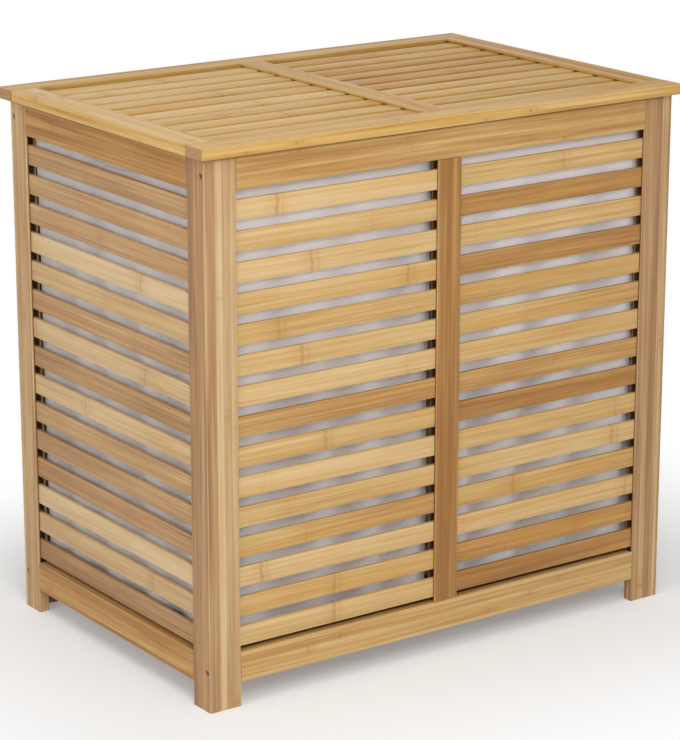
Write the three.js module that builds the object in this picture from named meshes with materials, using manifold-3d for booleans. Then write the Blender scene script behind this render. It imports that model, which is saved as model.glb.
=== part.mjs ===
// Laundry hamper with two bins: slatted bamboo panels, one hinged lid and two hanging liners.
// Millimetres. X runs left to right, Y front to back, Z up.
// The origin is on the floor, under the middle of the lid.
import * as THREE from "three";
import { mergeVertices } from "three/addons/utils/BufferGeometryUtils.js";
import Module from "manifold-3d";

const wasm = await Module();
wasm.setup();

// Whole object
const lidWidth = 624;
const lidDepth = 416;
const totalHeight = 600;
const sideOverhang = 6;
const frontOverhang = 7;
const backOverhang = 17;

// Boards, slats and the clearance between pieces that meet
const boardThickness = 12;
const slatThickness = 6;
const edgeEase = 0.6;
const fit = 0.3;

// Joinery
const grooveDepth = 6;
const grooveSlack = 0.2;
const tenonLength = 6;
const tenonShoulder = 6;
const slatBite = 1;

// Wall panels
const footHeight = 27;
const bottomRailHeight = 33;
const topRailHeight = 35;
const sideStileWidth = 32;
const frontStileWidth = 26;
const centreStileWidth = 30.6;
const wallSlatHeight = 21.5;
const wallSlatGap = 10.95;
const wallFirstGap = 6;

// Lid
const lidRailWidth = 31;
const lidEndStileWidth = 34;
const lidMiddleStileWidth = 30;
const lidSlatWidth = 24;
const lidSlatGap = 10.36;

// Corner screws, sunk in counterbores
const cornerHeadRadius = 3.2;
const cornerHeadHeight = 3;
const cornerHeadSink = 2;
const cornerShankRadius = 2;
const socketRadius = 1.7;
const socketDepth = 2;
const screwTipWall = 3;

// Small countersunk screws
const smallHeadRadius = 2.7;
const smallHeadHeight = 1.8;
const smallShankRadius = 1.4;

// Hinges
const hingeInset = 110;
const leafWidth = 40;
const leafLength = 15;
const leafThickness = 1.2;
const barrelRadius = 3;
const pinRadius = 1.5;
const leafScrewShare = 0.3;

// Hanger rails and centre bar that carry the rods
const hangerDrop = 6;
const hangerHeight = 20;
const hangerThickness = 12;
const centreBarWidth = 16;
const housingDepth = 3;
const rodRadius = 3;
const rodSink = 8;
const rodEndGap = 1;
const hangerScrewShare = 0.33;

// Liner bags
const linerClearance = 3;
const linerThickness = 2;
const linerCornerRadius = 12;
const linerTaper = 8;
const leftLinerLift = 29.5;
const rightLinerLift = 16.5;

// Base board
const baseThickness = 4;
const baseGrooveDepth = 4;

// Making
const overrun = 1;
const mergeDistance = 1e-4;
const socketSides = 6;
const screwSides = 12;
const barrelSides = 16;
const rodSides = 16;
const cornerSteps = 4;

// Places that follow from the sizes above
const outerHalfWidth = lidWidth / 2 - sideOverhang;
const outerFront = -lidDepth / 2 + frontOverhang;
const outerBack = lidDepth / 2 - backOverhang;
const outerMiddle = (outerFront + outerBack) / 2;
const innerHalfWidth = outerHalfWidth - boardThickness;
const innerFront = outerFront + boardThickness;
const innerBack = outerBack - boardThickness;
const lidUnderside = totalHeight - boardThickness;
const wallHeight = lidUnderside - fit;
const frontPanelWidth = 2 * (innerHalfWidth - fit);
const sidePanelWidth = outerBack - outerFront;
const slatRecess = (boardThickness - slatThickness) / 2;
const bottomScrewHeight = footHeight + bottomRailHeight / 2;
const topScrewHeight = wallHeight - topRailHeight / 2;
const hangerTop = wallHeight - hangerDrop;
const hangerBottom = hangerTop - hangerHeight;
const rodHeight = hangerTop - rodSink;
const sleeveRadius = rodRadius + fit + linerThickness;
const rodFront = innerFront + linerClearance + sleeveRadius;
const rodBack = innerBack - linerClearance - sleeveRadius;
const baseBottom = footHeight + (bottomRailHeight - baseThickness) / 2;
const baseTop = baseBottom + baseThickness;
const pinY = outerBack + fit + barrelRadius;
const pinZ = lidUnderside + leafThickness - barrelRadius;
const hingeX = outerHalfWidth - hingeInset;
const leafScrewReach = (barrelRadius + fit + leafLength) / 2;

// The three axes, and the one that follows each of them in turning order.
const [X, Y, Z] = ["x", "y", "z"].keys();
const following = [Y, Z, X];
const unit = [new THREE.Vector3(1, 0, 0), new THREE.Vector3(0, 1, 0), new THREE.Vector3(0, 0, 1)];
const quarterTurn = Math.PI / 2;
const halfTurn = Math.PI;

const bamboo = new THREE.MeshStandardMaterial({
  color: 0xc8965c,
  roughness: 0.5,
  metalness: 0,
  flatShading: true,
});
const steel = new THREE.MeshStandardMaterial({
  color: 0xb9b7b2,
  roughness: 0.35,
  metalness: 1,
  flatShading: true,
});
const cloth = new THREE.MeshStandardMaterial({
  color: 0xdad8dc,
  roughness: 0.95,
  metalness: 0,
  flatShading: true,
});
const plywood = new THREE.MeshStandardMaterial({
  color: 0xa9824f,
  roughness: 0.7,
  metalness: 0,
  flatShading: true,
});

// Turns a closed geometry into a solid that can be joined and cut.
function solid(geometry) {
  const bare = geometry.index ? geometry.toNonIndexed() : geometry.clone();
  bare.deleteAttribute("normal");
  bare.deleteAttribute("uv");
  const merged = mergeVertices(bare, mergeDistance);
  const corners = merged.index.array;
  const kept = [];
  for (let i = 0; i < corners.length; i += 3) {
    const [a, b, c] = corners.slice(i, i + 3);
    if (a !== b && b !== c && c !== a) kept.push(a, b, c);
  }
  return new wasm.Manifold(
    new wasm.Mesh({
      numProp: 3,
      vertProperties: merged.attributes.position.array,
      triVerts: new Uint32Array(kept),
    }),
  );
}

// Adds a solid to a group as one named piece.
function add(group, name, shape, material) {
  const made = shape.getMesh();
  const geometry = new THREE.BufferGeometry();
  geometry.setAttribute("position", new THREE.BufferAttribute(made.vertProperties, 3));
  geometry.setIndex(new THREE.BufferAttribute(made.triVerts, 1));
  const piece = new THREE.Mesh(geometry, material);
  piece.name = name;
  group.add(piece);
  return piece;
}

// Joins or cuts a list of solids, one after another.
const join = (first, rest) => rest.reduce((sum, next) => sum.add(next), first);
const cut = (first, rest) => rest.reduce((left, next) => left.subtract(next), first);

// A plain block between two opposite corners.
function block(low, high) {
  const geometry = new THREE.BoxGeometry(high[X] - low[X], high[Y] - low[Y], high[Z] - low[Z]);
  geometry.translate((low[X] + high[X]) / 2, (low[Y] + high[Y]) / 2, (low[Z] + high[Z]) / 2);
  return solid(geometry);
}

// A board between two opposite corners, with the four edges along its grain eased.
function board(low, high, grain) {
  const u = following[grain];
  const v = following[u];
  const width = high[u] - low[u];
  const height = high[v] - low[v];
  const outline = new THREE.Shape();
  outline.moveTo(edgeEase, 0);
  outline.lineTo(width - edgeEase, 0);
  outline.lineTo(width, edgeEase);
  outline.lineTo(width, height - edgeEase);
  outline.lineTo(width - edgeEase, height);
  outline.lineTo(edgeEase, height);
  outline.lineTo(0, height - edgeEase);
  outline.lineTo(0, edgeEase);
  const depth = high[grain] - low[grain];
  const geometry = new THREE.ExtrudeGeometry(outline, { depth, bevelEnabled: false });
  const place = new THREE.Matrix4().makeBasis(unit[u], unit[v], unit[grain]);
  place.setPosition(low[X], low[Y], low[Z]);
  return solid(geometry.applyMatrix4(place));
}

// A round bar along one axis, between two places on that axis.
function bar(axis, centre, radius, from, to, sides) {
  const geometry = new THREE.CylinderGeometry(radius, radius, to - from, sides);
  geometry.rotateY(Math.PI / sides);
  const next = following[axis];
  const place = new THREE.Matrix4().makeBasis(unit[following[next]], unit[axis], unit[next]);
  const middle = [...centre];
  middle[axis] = (from + to) / 2;
  place.setPosition(...middle);
  return solid(geometry.applyMatrix4(place));
}

// A turned shape about +Y, from a profile that runs upwards from the axis back to the axis.
function turned(profile, sides) {
  const points = profile.map(([radius, height]) => new THREE.Vector2(radius, height));
  return new THREE.LatheGeometry(points, sides);
}

// A corner screw with a round head and a six-sided socket. The head's top is at the origin.
function cornerScrew(length) {
  const shape = solid(
    turned(
      [
        [0, -length],
        [cornerShankRadius, -length],
        [cornerShankRadius, -cornerHeadHeight],
        [cornerHeadRadius, -cornerHeadHeight],
        [cornerHeadRadius, 0],
        [0, 0],
      ],
      screwSides,
    ),
  );
  const socket = bar(Y, [0, 0, 0], socketRadius, -socketDepth, overrun, socketSides);
  return shape.subtract(socket);
}

// The bore for a corner screw, open above its head.
function cornerBore(length) {
  return turned(
    [
      [0, -length - fit],
      [cornerShankRadius + fit, -length - fit],
      [cornerShankRadius + fit, -cornerHeadHeight - fit],
      [cornerHeadRadius + fit, -cornerHeadHeight - fit],
      [cornerHeadRadius + fit, cornerHeadSink + overrun],
      [0, cornerHeadSink + overrun],
    ],
    screwSides,
  );
}

// A countersunk screw, and its bore when it is grown by a clearance and run out above.
function smallScrew(length, grow, above) {
  const profile = [
    [0, -length - grow],
    [smallShankRadius + grow, -length - grow],
    [smallShankRadius + grow, -smallHeadHeight - grow],
    [smallHeadRadius + grow, 0],
  ];
  if (above > 0) profile.push([smallHeadRadius + grow, above]);
  profile.push([0, above]);
  return turned(profile, screwSides);
}

// The rotation that points a turned shape's head along a direction.
const headTowards = (direction) =>
  new THREE.Quaternion().setFromUnitVectors(unit[Y], direction);

// Places a turned geometry with its head towards a direction, as a cutter.
function placed(geometry, position, direction) {
  const place = new THREE.Matrix4().makeRotationFromQuaternion(headTowards(direction));
  place.setPosition(...position);
  return solid(geometry.applyMatrix4(place));
}

// Adds a screw piece with its head towards a direction.
function addScrew(group, name, shape, position, direction) {
  const screw = add(group, name, shape, steel);
  screw.quaternion.copy(headTowards(direction));
  screw.position.set(...position);
}

// Directions: out of and into a panel in its own frame, and others in the hamper's frame.
const outwards = unit[Y].clone().negate();
const inwards = unit[Y];
const backwards = unit[Y];
const toRight = unit[X];
const toLeft = unit[X].clone().negate();
const downwards = unit[Z].clone().negate();

// The lower edges of a panel's slats. The first gap is set, and the rest are spread evenly.
function slatEdges(panel) {
  const first = panel.fieldLow + panel.firstGap;
  const span = panel.fieldHigh - first;
  const count = Math.round(span / (panel.slatHeight + panel.slatGap));
  return Array.from({ length: count }, (_, i) => first + (span * i) / count);
}

// Every slat of one field, between two places along the panel.
function slats(panel, from, to) {
  return slatEdges(panel).map((edge) =>
    board([from, slatRecess, edge], [to, slatRecess + slatThickness, edge + panel.slatHeight], X),
  );
}

// A cutter for a groove in an upright edge. It runs past the edge on the open side.
function groove(edge, into, low, high) {
  const floor = edge + into * grooveDepth;
  const open = edge - into * overrun;
  return block(
    [Math.min(floor, open), slatRecess - grooveSlack, low],
    [Math.max(floor, open), slatRecess + slatThickness + grooveSlack, high],
  );
}

// A tenon in the plane of the slats, or its mortise when it is grown by a clearance.
function tenon(from, to, low, high, grow) {
  return block(
    [from - grow, slatRecess - grow, low - grow],
    [to + grow, slatRecess + slatThickness + grow, high + grow],
  );
}

// The sizes that every member of a panel shares. In a panel's frame x runs along it,
// y from its outer face inwards and z up it. Rails run past the stiles, or between them.
function panelSizes(spec) {
  const halfWidth = spec.width / 2;
  const stileEdge = halfWidth - spec.stileWidth;
  const fieldLow = spec.foot + spec.lowRailHeight;
  const fieldHigh = spec.height - spec.highRailHeight;
  return {
    ...spec,
    halfWidth,
    stileEdge,
    fieldLow,
    fieldHigh,
    railHalf: spec.railsThrough ? halfWidth : stileEdge - fit,
    stileLow: spec.railsThrough ? fieldLow + fit : 0,
    stileHigh: spec.railsThrough ? fieldHigh - fit : spec.height,
    middleHalf: spec.middleWidth / 2,
  };
}

// The two stub tenons that fix a stile between the rails.
function stileTenons(panel, from, to) {
  const low = panel.fieldLow + fit;
  const high = panel.fieldHigh - fit;
  return [
    tenon(from, to, low - tenonLength, low + overrun, 0),
    tenon(from, to, high - overrun, high + tenonLength, 0),
  ];
}

// The place along the panel of an end stile's tenon, on the left (-1) or right (1).
function endTenonSpan(panel, side) {
  const outer = side * (panel.halfWidth - tenonShoulder);
  const inner = side * (panel.stileEdge + grooveDepth);
  return [Math.min(outer, inner), Math.max(outer, inner)];
}

// An end stile, on the left (-1) or right (1), with its groove and, where it carries them, its slats.
function endStile(panel, side, carriesSlats) {
  const outer = side * panel.halfWidth;
  const inner = side * panel.stileEdge;
  const low = [Math.min(outer, inner), 0, panel.stileLow];
  const high = [Math.max(outer, inner), boardThickness, panel.stileHigh];
  const shoulder = tenonShoulder - fit;
  const grooveLow = panel.railsThrough ? panel.stileLow - tenonLength : panel.foot + shoulder;
  const grooveHigh = panel.railsThrough ? panel.stileHigh + tenonLength : panel.height - shoulder;
  let stile = board(low, high, Z);
  if (panel.railsThrough) stile = join(stile, stileTenons(panel, ...endTenonSpan(panel, side)));
  stile = cut(stile, [groove(inner, side, grooveLow, grooveHigh)]);
  if (!carriesSlats) return stile;
  const root = side * (panel.stileEdge + grooveDepth + slatBite);
  const reach = grooveDepth - fit;
  const freeEnd = side * (panel.middleWidth > 0 ? panel.middleHalf - reach : -panel.stileEdge - reach);
  return join(stile, slats(panel, Math.min(root, freeEnd), Math.max(root, freeEnd)));
}

// The stile in the middle of a panel, grooved on both edges, with a tenon at each end.
function middleStile(panel) {
  const half = panel.middleHalf;
  const low = panel.fieldLow + fit;
  const high = panel.fieldHigh - fit;
  const core = half - grooveDepth;
  const stile = board([-half, 0, low], [half, boardThickness, high], Z);
  const grooved = cut(stile, [
    groove(half, -1, low - overrun, high + overrun),
    groove(-half, 1, low - overrun, high + overrun),
  ]);
  return join(grooved, stileTenons(panel, -core, core));
}

// The mortises that a rail needs for the stiles between the rails.
function railMortises(panel) {
  const spans = [];
  const core = panel.middleHalf - grooveDepth;
  if (panel.middleWidth > 0) spans.push([-core, core]);
  if (panel.railsThrough) spans.push(endTenonSpan(panel, -1), endTenonSpan(panel, 1));
  const low = panel.fieldLow + fit - tenonLength;
  const high = panel.fieldHigh - fit + tenonLength;
  return spans.flatMap(([from, to]) => [
    tenon(from, to, low, panel.fieldLow + overrun, fit),
    tenon(from, to, panel.fieldHigh - overrun, high, fit),
  ]);
}

// A rail between two heights, with tongues for the stiles' grooves where it ends at them.
function rail(panel, low, high) {
  const half = panel.railHalf;
  const body = board([-half, 0, low], [half, boardThickness, high], X);
  if (panel.railsThrough) return cut(body, railMortises(panel));
  const tip = panel.stileEdge + grooveDepth - fit;
  const tongue = tenon(-tip, tip, low + tenonShoulder, high - tenonShoulder, 0);
  return cut(body.add(tongue), railMortises(panel));
}

// A whole panel as a group of named pieces. Cuts are given for each member.
function makePanel(spec) {
  const panel = panelSizes(spec);
  const { names, cuts } = panel;
  const group = new THREE.Group();
  const lowRail = rail(panel, panel.foot, panel.fieldLow);
  const highRail = rail(panel, panel.fieldHigh, panel.height);
  const left = endStile(panel, -1, panel.slatsOn.includes("left"));
  const right = endStile(panel, 1, panel.slatsOn.includes("right"));
  add(group, names.lowRail, cut(lowRail, cuts.lowRail), bamboo);
  add(group, names.highRail, cut(highRail, cuts.highRail), bamboo);
  add(group, names.left, cut(left, cuts.left), bamboo);
  add(group, names.right, cut(right, cuts.right), bamboo);
  if (panel.middleWidth > 0) add(group, names.middle, middleStile(panel), bamboo);
  return group;
}

// Wall panels. All stand on the floor and share their heights.
const wall = {
  height: wallHeight,
  foot: footHeight,
  lowRailHeight: bottomRailHeight,
  highRailHeight: topRailHeight,
  slatHeight: wallSlatHeight,
  slatGap: wallSlatGap,
  firstGap: wallFirstGap,
  railsThrough: false,
};
const screwHeights = { bottom: bottomScrewHeight, top: topScrewHeight };
const cornerScrewLength =
  boardThickness - cornerHeadSink + frontStileWidth - grooveDepth - screwTipWall;

// The groove in a bottom rail's inner face that the base board sits in.
function baseGroove(halfLength) {
  return block(
    [-halfLength, boardThickness - baseGrooveDepth, baseBottom - fit],
    [halfLength, boardThickness + overrun, baseTop + fit],
  );
}

// The housing in a top rail's inner face that the centre bar drops into.
function barHousing() {
  const half = centreBarWidth / 2 + fit;
  return block(
    [-half, boardThickness - housingDepth, hangerBottom - fit],
    [half, boardThickness + overrun, wallHeight + overrun],
  );
}

// The corner bores of a front or back panel, on the left (-1) or right (1).
// They start where the screws leave the side panel, one board thickness out.
function edgeBores(side) {
  const start = side * (outerHalfWidth - cornerHeadSink);
  const head = side < 0 ? toLeft : toRight;
  return Object.values(screwHeights).map((height) =>
    placed(cornerBore(cornerScrewLength), [start, boardThickness / 2, height], head),
  );
}

const sideScrewReach = sidePanelWidth / 2 - boardThickness / 2;

// The corner bores of a side panel, near the end at -x (-1) or +x (1) of its own frame.
function faceBores(end) {
  return Object.values(screwHeights).map((height) =>
    placed(cornerBore(cornerScrewLength), [end * sideScrewReach, cornerHeadSink, height], outwards),
  );
}

// Screws that hold a hinge leaf reach into a board as far as the tip wall allows.
const leafScrewLength = leafThickness + boardThickness - screwTipWall;
const leafScrewOffsets = { left: -leafWidth * leafScrewShare, right: leafWidth * leafScrewShare };
const hingePlaces = { left: -hingeX, right: hingeX };
const hangerScrewLength = hangerThickness + fit + boardThickness - screwTipWall;
const hangerScrewOffsets = {
  front: -sidePanelWidth * hangerScrewShare,
  back: sidePanelWidth * hangerScrewShare,
};
const hangerScrewHeight = hangerTop - hangerHeight / 2;

// The back panel is turned round, so its own x is the hamper's x reversed.
function boxLeafBores() {
  const height = pinZ - leafScrewReach;
  const depth = -(fit + leafThickness);
  return Object.values(hingePlaces).flatMap((hinge) =>
    Object.values(leafScrewOffsets).map((offset) =>
      placed(smallScrew(leafScrewLength, fit, overrun), [hinge + offset, depth, height], outwards),
    ),
  );
}

// Bores in a side panel's top rail for the hanger rail's screws.
function hangerBores() {
  const depth = boardThickness + fit + hangerThickness;
  return Object.values(hangerScrewOffsets).map((offset) =>
    placed(smallScrew(hangerScrewLength, fit, overrun), [offset, depth, hangerScrewHeight], inwards),
  );
}

const frontRailHalf = frontPanelWidth / 2 - frontStileWidth - fit;
const sideRailHalf = sidePanelWidth / 2 - sideStileWidth - fit;

function frontOrBackPanel(names, hingeBores) {
  return makePanel({
    ...wall,
    width: frontPanelWidth,
    stileWidth: frontStileWidth,
    middleWidth: centreStileWidth,
    slatsOn: ["left", "right"],
    names,
    cuts: {
      left: edgeBores(-1),
      right: edgeBores(1),
      lowRail: [baseGroove(frontRailHalf)],
      highRail: [barHousing(), ...hingeBores],
    },
  });
}

function sidePanel(names, slatsOn) {
  return makePanel({
    ...wall,
    width: sidePanelWidth,
    stileWidth: sideStileWidth,
    middleWidth: 0,
    slatsOn,
    names,
    cuts: {
      left: faceBores(-1),
      right: faceBores(1),
      lowRail: [baseGroove(sideRailHalf)],
      highRail: hangerBores(),
    },
  });
}

const hamper = new THREE.Group();
const box = new THREE.Group();
const lid = new THREE.Group();
hamper.add(box, lid);

const frontPanel = frontOrBackPanel(
  {
    lowRail: "front_bottom_rail",
    highRail: "front_top_rail",
    left: "front_left_stile_with_slats",
    right: "front_right_stile_with_slats",
    middle: "front_centre_stile",
  },
  [],
);
frontPanel.position.set(0, outerFront, 0);

const backPanel = frontOrBackPanel(
  {
    lowRail: "back_bottom_rail",
    highRail: "back_top_rail",
    left: "back_right_stile_with_slats",
    right: "back_left_stile_with_slats",
    middle: "back_centre_stile",
  },
  boxLeafBores(),
);
backPanel.position.set(0, outerBack, 0);
backPanel.rotation.z = halfTurn;

const leftPanel = sidePanel(
  {
    lowRail: "left_bottom_rail",
    highRail: "left_top_rail",
    left: "left_back_stile",
    right: "left_front_stile_with_slats",
  },
  ["right"],
);
leftPanel.position.set(-outerHalfWidth, outerMiddle, 0);
leftPanel.rotation.z = -quarterTurn;

const rightPanel = sidePanel(
  {
    lowRail: "right_bottom_rail",
    highRail: "right_top_rail",
    left: "right_front_stile_with_slats",
    right: "right_back_stile",
  },
  ["left"],
);
rightPanel.position.set(outerHalfWidth, outerMiddle, 0);
rightPanel.rotation.z = quarterTurn;
box.add(frontPanel, backPanel, leftPanel, rightPanel);

// Corner screws. The left panel's own x points to the front, the right panel's to the back.
for (const [side, panel, frontEnd] of [["left", leftPanel, 1], ["right", rightPanel, -1]]) {
  for (const [end, along] of [["front", frontEnd], ["back", -frontEnd]]) {
    for (const [level, height] of Object.entries(screwHeights)) {
      const name = `corner_screw_${side}_${end}_${level}`;
      const place = [along * sideScrewReach, cornerHeadSink, height];
      addScrew(panel, name, cornerScrew(cornerScrewLength), place, outwards);
    }
  }
}

// Lid, built upright like a wall panel and laid flat with its outer face up.
function leafMortise(hinge) {
  const depth = lidDepth / 2 + pinY;
  const half = leafWidth / 2 + fit;
  return block(
    [hinge - half, boardThickness - leafThickness - fit, depth - leafLength - fit],
    [hinge + half, boardThickness + overrun, depth + barrelRadius + fit],
  );
}

function lidLeafBores(hinge) {
  const depth = lidDepth / 2 + pinY - leafScrewReach;
  return Object.values(leafScrewOffsets).map((offset) =>
    placed(smallScrew(leafScrewLength, fit, overrun), [hinge + offset, boardThickness, depth], inwards),
  );
}

const lidPanel = makePanel({
  width: lidWidth,
  height: lidDepth,
  foot: 0,
  lowRailHeight: lidRailWidth,
  highRailHeight: lidRailWidth,
  stileWidth: lidEndStileWidth,
  middleWidth: lidMiddleStileWidth,
  slatHeight: lidSlatWidth,
  slatGap: lidSlatGap,
  firstGap: lidSlatGap,
  railsThrough: true,
  slatsOn: ["left", "right"],
  names: {
    lowRail: "lid_front_rail",
    highRail: "lid_back_rail",
    left: "lid_left_stile_with_slats",
    right: "lid_right_stile_with_slats",
    middle: "lid_middle_stile",
  },
  cuts: {
    left: [],
    right: [],
    lowRail: [],
    highRail: [
      leafMortise(-hingeX),
      leafMortise(hingeX),
      ...lidLeafBores(-hingeX),
      ...lidLeafBores(hingeX),
    ],
  },
});
lidPanel.position.set(0, -lidDepth / 2, totalHeight);
lidPanel.rotation.x = -quarterTurn;
lid.add(lidPanel);

// Hinges. Their own frame has the pin's axis along x through the origin.
// Three knuckles share a leaf's width: two on the box leaf and one between them on the lid leaf.
const knuckleCount = 3;
const knuckleLength = (leafWidth - (knuckleCount - 1) * fit) / knuckleCount;

function knuckle(index) {
  const from = index * (knuckleLength + fit) - leafWidth / 2;
  return bar(X, [0, 0, 0], barrelRadius, from, from + knuckleLength, barrelSides);
}

const pinBore = () =>
  bar(X, [0, 0, 0], pinRadius + fit, -leafWidth, leafWidth, screwSides);

// The leaf on the wall hangs down from the barrel and has the two outer knuckles.
function boxLeaf() {
  const front = -barrelRadius;
  const plate = block(
    [-leafWidth / 2, front, -leafLength],
    [leafWidth / 2, front + leafThickness, 0],
  );
  const room = knuckleLength / 2 + fit;
  const notch = block([-room, front - overrun, -barrelRadius - fit], [room, 0, overrun]);
  const bores = Object.values(leafScrewOffsets).map((offset) =>
    placed(
      smallScrew(leafScrewLength, fit, overrun),
      [offset, front + leafThickness, -leafScrewReach],
      backwards,
    ),
  );
  const knuckles = [knuckle(0), knuckle(2)];
  return cut(join(cut(plate, [notch]), knuckles), [pinBore(), ...bores]);
}

// The leaf on the lid lies forward of the barrel and has the middle knuckle.
function lidLeaf() {
  const plate = block(
    [-leafWidth / 2, -leafLength, barrelRadius - leafThickness],
    [leafWidth / 2, 0, barrelRadius],
  );
  const reach = -barrelRadius - fit;
  const room = knuckleLength / 2;
  const top = barrelRadius + overrun;
  const bottom = barrelRadius - leafThickness - overrun;
  const notches = [
    block([-leafWidth / 2 - overrun, reach, bottom], [-room, overrun, top]),
    block([room, reach, bottom], [leafWidth / 2 + overrun, overrun, top]),
  ];
  const bores = Object.values(leafScrewOffsets).map((offset) =>
    placed(
      smallScrew(leafScrewLength, fit, overrun),
      [offset, -leafScrewReach, barrelRadius - leafThickness],
      downwards,
    ),
  );
  return cut(join(cut(plate, notches), [knuckle(1)]), [pinBore(), ...bores]);
}

for (const [side, x] of Object.entries(hingePlaces)) {
  const onBox = new THREE.Group();
  const onLid = new THREE.Group();
  onBox.position.set(x, pinY, pinZ);
  onLid.position.set(x, pinY, pinZ);
  box.add(onBox);
  lid.add(onLid);
  const pin = bar(X, [0, 0, 0], pinRadius, -leafWidth / 2, leafWidth / 2, screwSides);
  add(onBox, `${side}_hinge_box_leaf`, boxLeaf(), steel);
  add(onBox, `${side}_hinge_pin`, pin, steel);
  add(onLid, `${side}_hinge_lid_leaf`, lidLeaf(), steel);
  for (const [end, offset] of Object.entries(leafScrewOffsets)) {
    const shape = () => solid(smallScrew(leafScrewLength, 0, 0));
    const onWall = [offset, leafThickness - barrelRadius, -leafScrewReach];
    const under = [offset, -leafScrewReach, barrelRadius - leafThickness];
    addScrew(onBox, `${side}_hinge_box_screw_${end}`, shape(), onWall, backwards);
    addScrew(onLid, `${side}_hinge_lid_screw_${end}`, shape(), under, downwards);
  }
}

// The open slots in a hanger's top edge that the rods lie in.
function rodSlots(from, to) {
  const radius = rodRadius + fit;
  return [rodFront, rodBack].flatMap((y) => [
    bar(X, [0, y, rodHeight], radius, from, to, rodSides),
    block([from, y - radius, rodHeight], [to, y + radius, hangerTop + overrun]),
  ]);
}

// A hanger rail on the inner face of a side panel, on the left (-1) or right (1).
function hangerRail(side) {
  const outer = side * (innerHalfWidth - fit);
  const inner = outer - side * hangerThickness;
  const low = Math.min(outer, inner);
  const high = Math.max(outer, inner);
  const strip = board(
    [low, innerFront + fit, hangerBottom],
    [high, innerBack - fit, hangerTop],
    Y,
  );
  const head = side < 0 ? toRight : toLeft;
  const bores = Object.values(hangerScrewOffsets).map((offset) =>
    placed(
      smallScrew(hangerScrewLength, fit, overrun),
      [inner, outerMiddle + offset, hangerScrewHeight],
      head,
    ),
  );
  return cut(strip, [...rodSlots(low - overrun, high + overrun), ...bores]);
}

for (const [name, side] of [["left", -1], ["right", 1]]) {
  add(box, `${name}_hanger_rail`, hangerRail(side), bamboo);
  const inner = side * (innerHalfWidth - fit - hangerThickness);
  const head = side < 0 ? toRight : toLeft;
  for (const [end, offset] of Object.entries(hangerScrewOffsets)) {
    const place = [inner, outerMiddle + offset, hangerScrewHeight];
    const shape = solid(smallScrew(hangerScrewLength, 0, 0));
    addScrew(box, `${name}_hanger_screw_${end}`, shape, place, head);
  }
}

// The centre bar, whose ends sit in the housings of the front and back top rails.
const barHalf = centreBarWidth / 2;
const centreBar = board(
  [-barHalf, innerFront - housingDepth + fit, hangerBottom],
  [barHalf, innerBack + housingDepth - fit, hangerTop],
  Y,
);
add(box, "centre_bar", cut(centreBar, rodSlots(-barHalf - overrun, barHalf + overrun)), bamboo);

// Rods, two for each liner. They lie in the slots of a hanger rail and of the centre bar.
const rodOuter = innerHalfWidth - rodEndGap;
const rodInner = rodEndGap / 2;
for (const [name, side] of [["left", -1], ["right", 1]]) {
  for (const [end, y] of [["front", rodFront], ["back", rodBack]]) {
    const from = Math.min(side * rodOuter, side * rodInner);
    const to = Math.max(side * rodOuter, side * rodInner);
    const rod = bar(X, [0, y, rodHeight], rodRadius, from, to, rodSides);
    add(box, `${name}_${end}_rod`, rod, steel);
  }
}

// A tub with rounded corners about the origin, drawn in towards its bottom.
function tub(halfWidth, halfDepth, radius, low, high, taperLow, taperHigh) {
  const outline = new THREE.Shape();
  const right = halfWidth - radius;
  const back = halfDepth - radius;
  outline.absarc(right, back, radius, 0, quarterTurn);
  outline.absarc(-right, back, radius, quarterTurn, 2 * quarterTurn);
  outline.absarc(-right, -back, radius, 2 * quarterTurn, 3 * quarterTurn);
  outline.absarc(right, -back, radius, 3 * quarterTurn, 4 * quarterTurn);
  const geometry = new THREE.ExtrudeGeometry(outline, {
    depth: high - low,
    bevelEnabled: false,
    curveSegments: cornerSteps,
  });
  geometry.translate(0, 0, low);
  const place = geometry.attributes.position;
  for (let i = 0; i < place.count; i++) {
    const drawn = linerTaper * ((taperHigh - place.getZ(i)) / (taperHigh - taperLow));
    place.setX(i, place.getX(i) * (1 - drawn / halfWidth));
    place.setY(i, place.getY(i) * (1 - drawn / halfDepth));
  }
  return solid(geometry);
}

const linerTop = rodHeight - sleeveRadius;
const linerHalfDepth = (innerBack - innerFront) / 2 - linerClearance;
const linerOuterX = innerHalfWidth - fit - hangerThickness - linerClearance;
const linerInnerX = centreBarWidth / 2 + linerClearance;
const linerHalfWidth = (linerOuterX - linerInnerX) / 2;
const linerX = (linerOuterX + linerInnerX) / 2;

// A liner bag in a frame under the middle of its mouth. Hem sleeves hold it on its two rods.
function liner(bottom) {
  const outside = tub(
    linerHalfWidth,
    linerHalfDepth,
    linerCornerRadius,
    bottom,
    linerTop,
    bottom,
    linerTop,
  );
  const inside = tub(
    linerHalfWidth - linerThickness,
    linerHalfDepth - linerThickness,
    linerCornerRadius - linerThickness,
    bottom + linerThickness,
    linerTop + overrun,
    bottom,
    linerTop,
  );
  const half = linerHalfWidth - linerCornerRadius;
  const reach = linerHalfDepth - sleeveRadius;
  const hems = [-1, 1].flatMap((end) => {
    const face = end * linerHalfDepth;
    const back = face - end * linerThickness;
    return [
      block(
        [-half, Math.min(face, back), linerTop - linerThickness],
        [half, Math.max(face, back), rodHeight],
      ),
      bar(X, [0, end * reach, rodHeight], sleeveRadius, -half, half, rodSides),
    ];
  });
  const bores = [-1, 1].map((end) =>
    bar(X, [0, end * reach, rodHeight], rodRadius + fit, -linerHalfWidth, linerHalfWidth, rodSides),
  );
  return cut(join(outside.subtract(inside), hems), bores);
}

const leftLiner = add(box, "left_liner", liner(baseTop + leftLinerLift), cloth);
leftLiner.position.set(-linerX, outerMiddle, 0);
const rightLiner = add(box, "right_liner", liner(baseTop + rightLinerLift), cloth);
rightLiner.position.set(linerX, outerMiddle, 0);

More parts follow.
